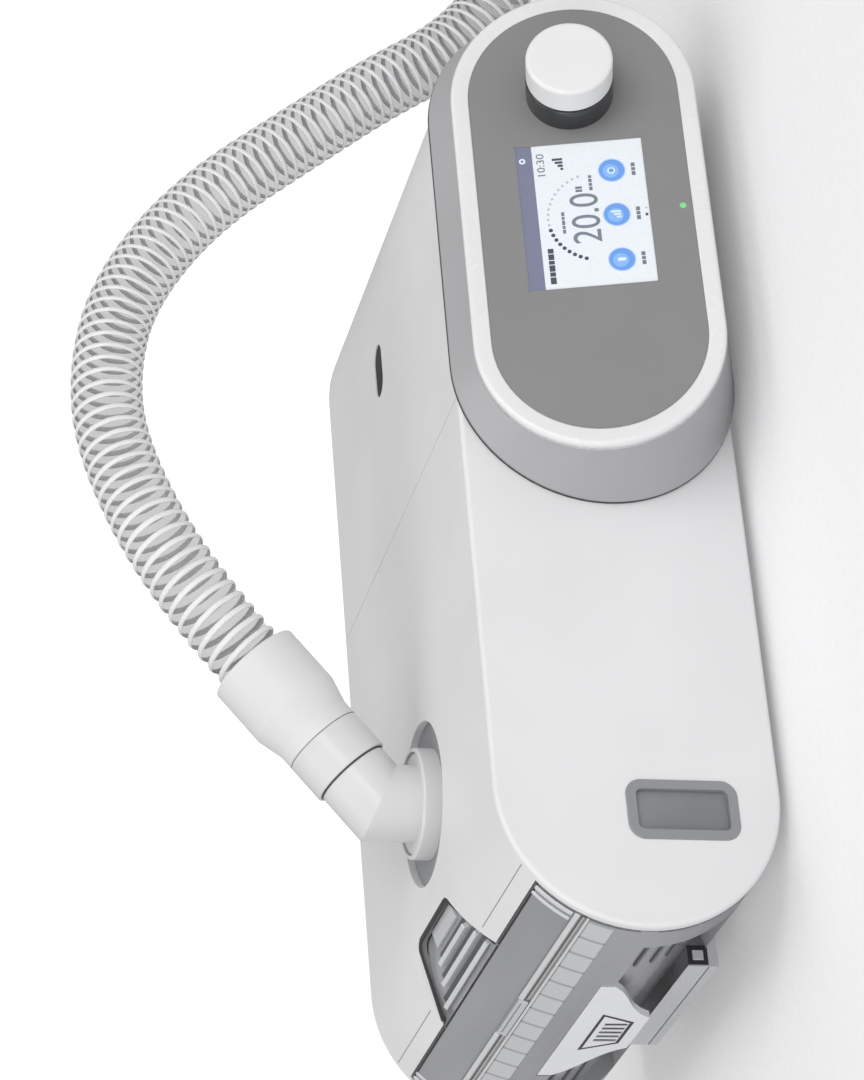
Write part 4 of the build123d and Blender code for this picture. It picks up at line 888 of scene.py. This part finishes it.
for name, start, width in (("lid_frame_outer", 1.2, 2.2), ("lid_frame_inner", 5.4, 1.8)):
    for end_name, y0, y1 in (
        (name, TANK_FRONT + start * MM, TANK_FRONT + (start + width) * MM),
        (name + "_back", TANK_BACK - (start + width) * MM, TANK_BACK - start * MM),
    ):
        tank_strip(end_name, y0, y1, BAY_ANGLE + 1.2, 59.6, -0.35, 0.3, "tank_edge")

# Ribs on the floor of the finger cut, shorter towards the top.
GRIP_SINK = 3.0
GRIP_RIBS = ((37.4, -29.0, 29.0), (31.0, -27.5, 19.0), (24.6, -22.0, 12.0))  # angle, front, back
for i, (angle, y0, y1) in enumerate(GRIP_RIBS):
    tank_strip(f"grip_rib_{i}", MID_Y + y0 * MM, MID_Y + y1 * MM, angle - 1.1, angle + 1.1, 1.0,
               GRIP_SINK + 0.4, "tank_edge")
    # Dark strips in the valleys between the ribs are painted shade.
    tank_strip(f"grip_valley_shade_{i}", MID_Y + y0 * MM, MID_Y + y1 * MM, angle - 4.2, angle - 1.9,
               GRIP_SINK - 0.1, GRIP_SINK + 0.3, "tank_dark")
tank_strip("grip_wedge", MID_Y - 17 * MM, MID_Y + 9 * MM, 11.0, 18.5, 1.9, GRIP_SINK + 0.3,
           "tank_frame")

# Painted shade round the finger cut, on the shell: a dark strip at its edge and a grey sheet down
# its wall.
CUT_FOOT = (30.8, 37.0)  # from the round's axis and from the middle
CUT_END = (7.5, 20.0)
CUT_CORNER = 7.0
CUT_CORNER_STEPS = 8
CUT_START = 0.05  # share of the slanted side that is left bare at its foot


def cut_outline():
    """Points round the finger cut, as (from the round's axis, from the middle)."""
    lean = math.atan2(CUT_FOOT[1] - CUT_END[1], CUT_FOOT[0] - CUT_END[0])
    turn = math.pi / 2 - lean
    reach = CUT_CORNER * math.tan(turn / 2)
    centre = (CUT_END[0] + CUT_CORNER, CUT_END[1] - reach)
    half = [tuple(f + (e - f) * CUT_START for f, e in zip(CUT_FOOT, CUT_END))]
    for i in range(CUT_CORNER_STEPS + 1):
        a = math.pi / 2 + lean + turn * i / CUT_CORNER_STEPS
        half.append((centre[0] + CUT_CORNER * math.cos(a), centre[1] + CUT_CORNER * math.sin(a)))
    return half + [(x, -y) for x, y in reversed(half)]


def cut_strip(name, step0, step1, inset0, inset1, slot):
    """A strip inside the finger cut, between two steps in from its edge and two depths."""
    outline = cut_outline()
    count = len(outline)
    rings = []
    for i, (x, y) in enumerate(outline):
        x0, y0 = outline[max(0, i - 1)]
        x1, y1 = outline[min(count - 1, i + 1)]
        along = Vector((x1 - x0, y1 - y0)).normalized()
        ring = []
        for step, inset in ((step0, inset0), (step1, inset0), (step1, inset1), (step0, inset1)):
            px = x - along.y * step
            r = RADIUS / MM - inset
            ring.append(Vector((LEFT_X - px * MM, MID_Y + (y + along.x * step) * MM,
                                MID_Z + math.sqrt(r * r - px * px) * MM)))
        rings.append(ring)
    verts = [v for ring in rings for v in ring]
    faces = [(0, 1, 2, 3), tuple(4 * (count - 1) + k for k in (3, 2, 1, 0))]
    for i in range(count - 1):
        near, far = 4 * i, 4 * i + 4
        faces += [(near + k, near + (k + 1) % 4, far + (k + 1) % 4, far + k) for k in range(4)]
    return piece(name, verts, faces, slot, "machine", smooth=False)


# Both strips are painted shade: a dark edge and a grey wall.
cut_strip("cut_edge_shadow", 0.02, 1.5, 0.1, 0.55, "edge_dark")
cut_strip("cut_wall_shade", 0.02, 0.16, 0.6, 2.9, "seam_grey")

# Dark lines where the tank meets the shell above it and in front of it.
SHADOW_OUTER = 37.5 * MM  # from the middle to the nearer end of an outer shadow
SHADOW_MIDDLE = 37 * MM  # half the middle shadow's length
for name, y0, y1 in (
    ("bay_shadow_front", TANK_FRONT, MID_Y - SHADOW_OUTER),
    ("bay_shadow_middle", MID_Y - SHADOW_MIDDLE, MID_Y + SHADOW_MIDDLE),
    ("bay_shadow_back", MID_Y + SHADOW_OUTER, TANK_BACK),
):
    tank_strip(name, y0, y1, BAY_ANGLE + 0.9, BAY_ANGLE + 1.9, -0.03, 0.4, "edge_dark")
for name, angle0, angle1 in (
    ("front_shadow_high", BAY_ANGLE + 1.9, 86.5),
    ("front_shadow_low", 93.5, 142.0),
):
    tank_strip(name, TANK_FRONT, TANK_FRONT + 1.1 * MM, angle0, angle1, -0.04, 0.4, "tank_dark")

POCKET_SINK = 5.0
POCKET_REACH = (46, 72)  # from the middle, in millimetres
for side, end in (("front", -1), ("back", 1)):
    y0, y1 = sorted(MID_Y + end * reach * MM for reach in POCKET_REACH)
    for i, angle in enumerate((99.0, 107.0, 115.0)):
        tank_strip(f"pocket_rib_{side}_{i}", y0, y1, angle, angle + 1.6, POCKET_SINK - 0.7,
                   POCKET_SINK + 0.3, "tank_dark")

# The latch's frame with painted shade in its slots, and the bumper's end and lower line.
SLOTS = 5
SLOT_PITCH = 3.6
FRAME_OUTER = ((-16.5, 46.0), (16.5, 46.0), (9.8, 33.6), (-9.8, 33.6))
FRAME_INNER = ((-14.6, 44.9), (14.6, 44.9), (9.0, 34.8), (-9.0, 34.8))


def latch_frame():
    """A thin tapered frame round the latch's slots."""
    verts = []
    for x in (-0.03, 0.1):
        for outline in (FRAME_OUTER, FRAME_INNER):
            verts += [Vector((LATCH_FACE_X + x * MM, MID_Y + y * MM, z * MM)) for y, z in outline]
    faces = []
    for i in range(4):
        k = (i + 1) % 4
        faces += [(i, k, 4 + k, 4 + i), (8 + i, 8 + k, 12 + k, 12 + i), (i, k, 8 + k, 8 + i),
                  (4 + i, 4 + k, 12 + k, 12 + i)]
    return piece("latch_frame", verts, faces, "edge_dark", "latch", smooth=False)


latch_frame()
# Dark bars in the latch's grooves are painted shade.
for i in range(SLOTS):
    y = MID_Y + (i - (SLOTS - 1) / 2) * SLOT_PITCH * MM
    bar(f"latch_groove_shade_{i}", (LATCH_FACE_X + 0.3 * MM, y - 1.0 * MM, 35.2 * MM),
        (LATCH_FACE_X + 0.58 * MM, y + 1.0 * MM, 42.8 * MM), "edge_dark", "latch", 0.0001)

bumper_front = MID_Y - 36 * MM
bumper_x = LEFT_X - 37.5 * MM
bar("bumper_end", (bumper_x + 0.5 * MM, bumper_front - 0.3 * MM, TANK_FOOT_Z + 3.4 * MM),
    (bumper_x + 7.2 * MM, bumper_front + 0.05 * MM, TANK_FOOT_Z + 10.2 * MM), "edge_dark",
    "tank", 0.0001)
bar("bumper_block", (bumper_x + 2.0 * MM, bumper_front - 0.7 * MM, TANK_FOOT_Z + 5.0 * MM),
    (bumper_x + 5.4 * MM, bumper_front - 0.2 * MM, TANK_FOOT_Z + 8.7 * MM), "tank_frame",
    "tank", 0.0002)
bar("bumper_line", (bumper_x - 0.06 * MM, bumper_front + 0.3 * MM, TANK_FOOT_Z + 2.9 * MM),
    (bumper_x + 0.3 * MM, MID_Y + 35.7 * MM, TANK_FOOT_Z + 3.4 * MM), "tank_dark", "tank", 0.0001)

# -------------------------------------------------------- softening
EDGE_SOFT = {
    "window_bezel": 0.3,
    "start_button": 0.25,
    "tank_latch": 0.5,
    "tank_base": 0.5,
    "tank_lid": 0.4,
    "outlet_port": 0.25,
    "filter_cover": 0.3,
    "port_cover": 0.3,
    "main_shell": 0.2,
    "humidifier_shell": 0.2,
    "power_socket": 0.3,
    "feet": 0.3,
}
for node, width in EDGE_SOFT.items():
    soften(frame["nodes"][node], width * MM, 2, 50)

# ---------------------------------------------------------- stage and lighting
FLOOR_HALF = 6.0
PAPER_NEAR = 0.25  # metres from the machine's middle, where the paper starts to whiten
PAPER_FAR = 0.75


def floor_material():
    """White paper that keeps soft shadows, and shows white to the camera elsewhere."""
    m = Nodes("paper")
    fibres = m.spread(m.noise(300.0, 4.0), 0.0, 1.0)
    paper = m.mix(fibres, (0.80, 0.80, 0.81, 1), (0.83, 0.83, 0.84, 1))
    m.link(paper, m.shader.inputs["Base Color"])
    m.shader.inputs["Roughness"].default_value = 0.9
    m.bump(fibres, 0.05, 0.0001)
    camera_ray = m.add("ShaderNodeLightPath").outputs["Is Camera Ray"]
    far = m.add("ShaderNodeVectorMath", operation="LENGTH")
    m.link(m.place, far.inputs[0])
    lift = m.add("ShaderNodeMapRange", interpolation_type="SMOOTHSTEP")
    lift.inputs["From Min"].default_value = PAPER_NEAR
    lift.inputs["From Max"].default_value = PAPER_FAR
    lift.inputs["To Min"].default_value = 0.17
    lift.inputs["To Max"].default_value = 0.8
    m.link(far.outputs["Value"], lift.inputs["Value"])
    glow = m.add("ShaderNodeMath", operation="MULTIPLY")
    m.link(lift.outputs["Result"], glow.inputs[1])
    m.link(camera_ray, glow.inputs[0])
    m.link(glow.outputs[0], m.shader.inputs["Emission Strength"])
    m.shader.inputs["Emission Color"].default_value = (1, 1, 1, 1)
    return m.material


floor_mesh = bpy.data.meshes.new("floor")
floor_mesh.from_pydata(
    [(x, y, 0) for x, y in ((-1, -1), (1, -1), (1, 1), (-1, 1))], [], [(0, 1, 2, 3)]
)
floor_mesh.transform(Matrix.Scale(FLOOR_HALF, 4))
floor_mesh.materials.append(floor_material())
floor = bpy.data.objects.new("floor", floor_mesh)
bpy.context.scene.collection.objects.link(floor)


def area_light(name, place, target, size, power):
    """A square soft light that faces a target."""
    data = bpy.data.lights.new(name, "AREA")
    data.size = size
    data.energy = power
    light = bpy.data.objects.new(name, data)
    bpy.context.scene.collection.objects.link(light)
    light.location = place
    light.rotation_euler = (Vector(target) - Vector(place)).to_track_quat("-Z", "Y").to_euler()
    return light


area_light("key", (0.2, -1.8, 1.3), (-0.05, 0, 0.05), 1.2, 15)
area_light("left", (-1.8, -1.0, 0.8), (-0.1, 0, 0.05), 1.3, 12)
area_light("top", (-0.3, 0.1, 2.2), (-0.1, 0, 0.05), 1.6, 8)

world = bpy.data.worlds.new("studio")
world.use_nodes = True
background = world.node_tree.nodes["Background"]
background.inputs["Color"].default_value = (1, 1, 1, 1)
background.inputs["Strength"].default_value = 0.44
bpy.context.scene.world = world
bpy.context.scene.view_settings.view_transform = "Standard"
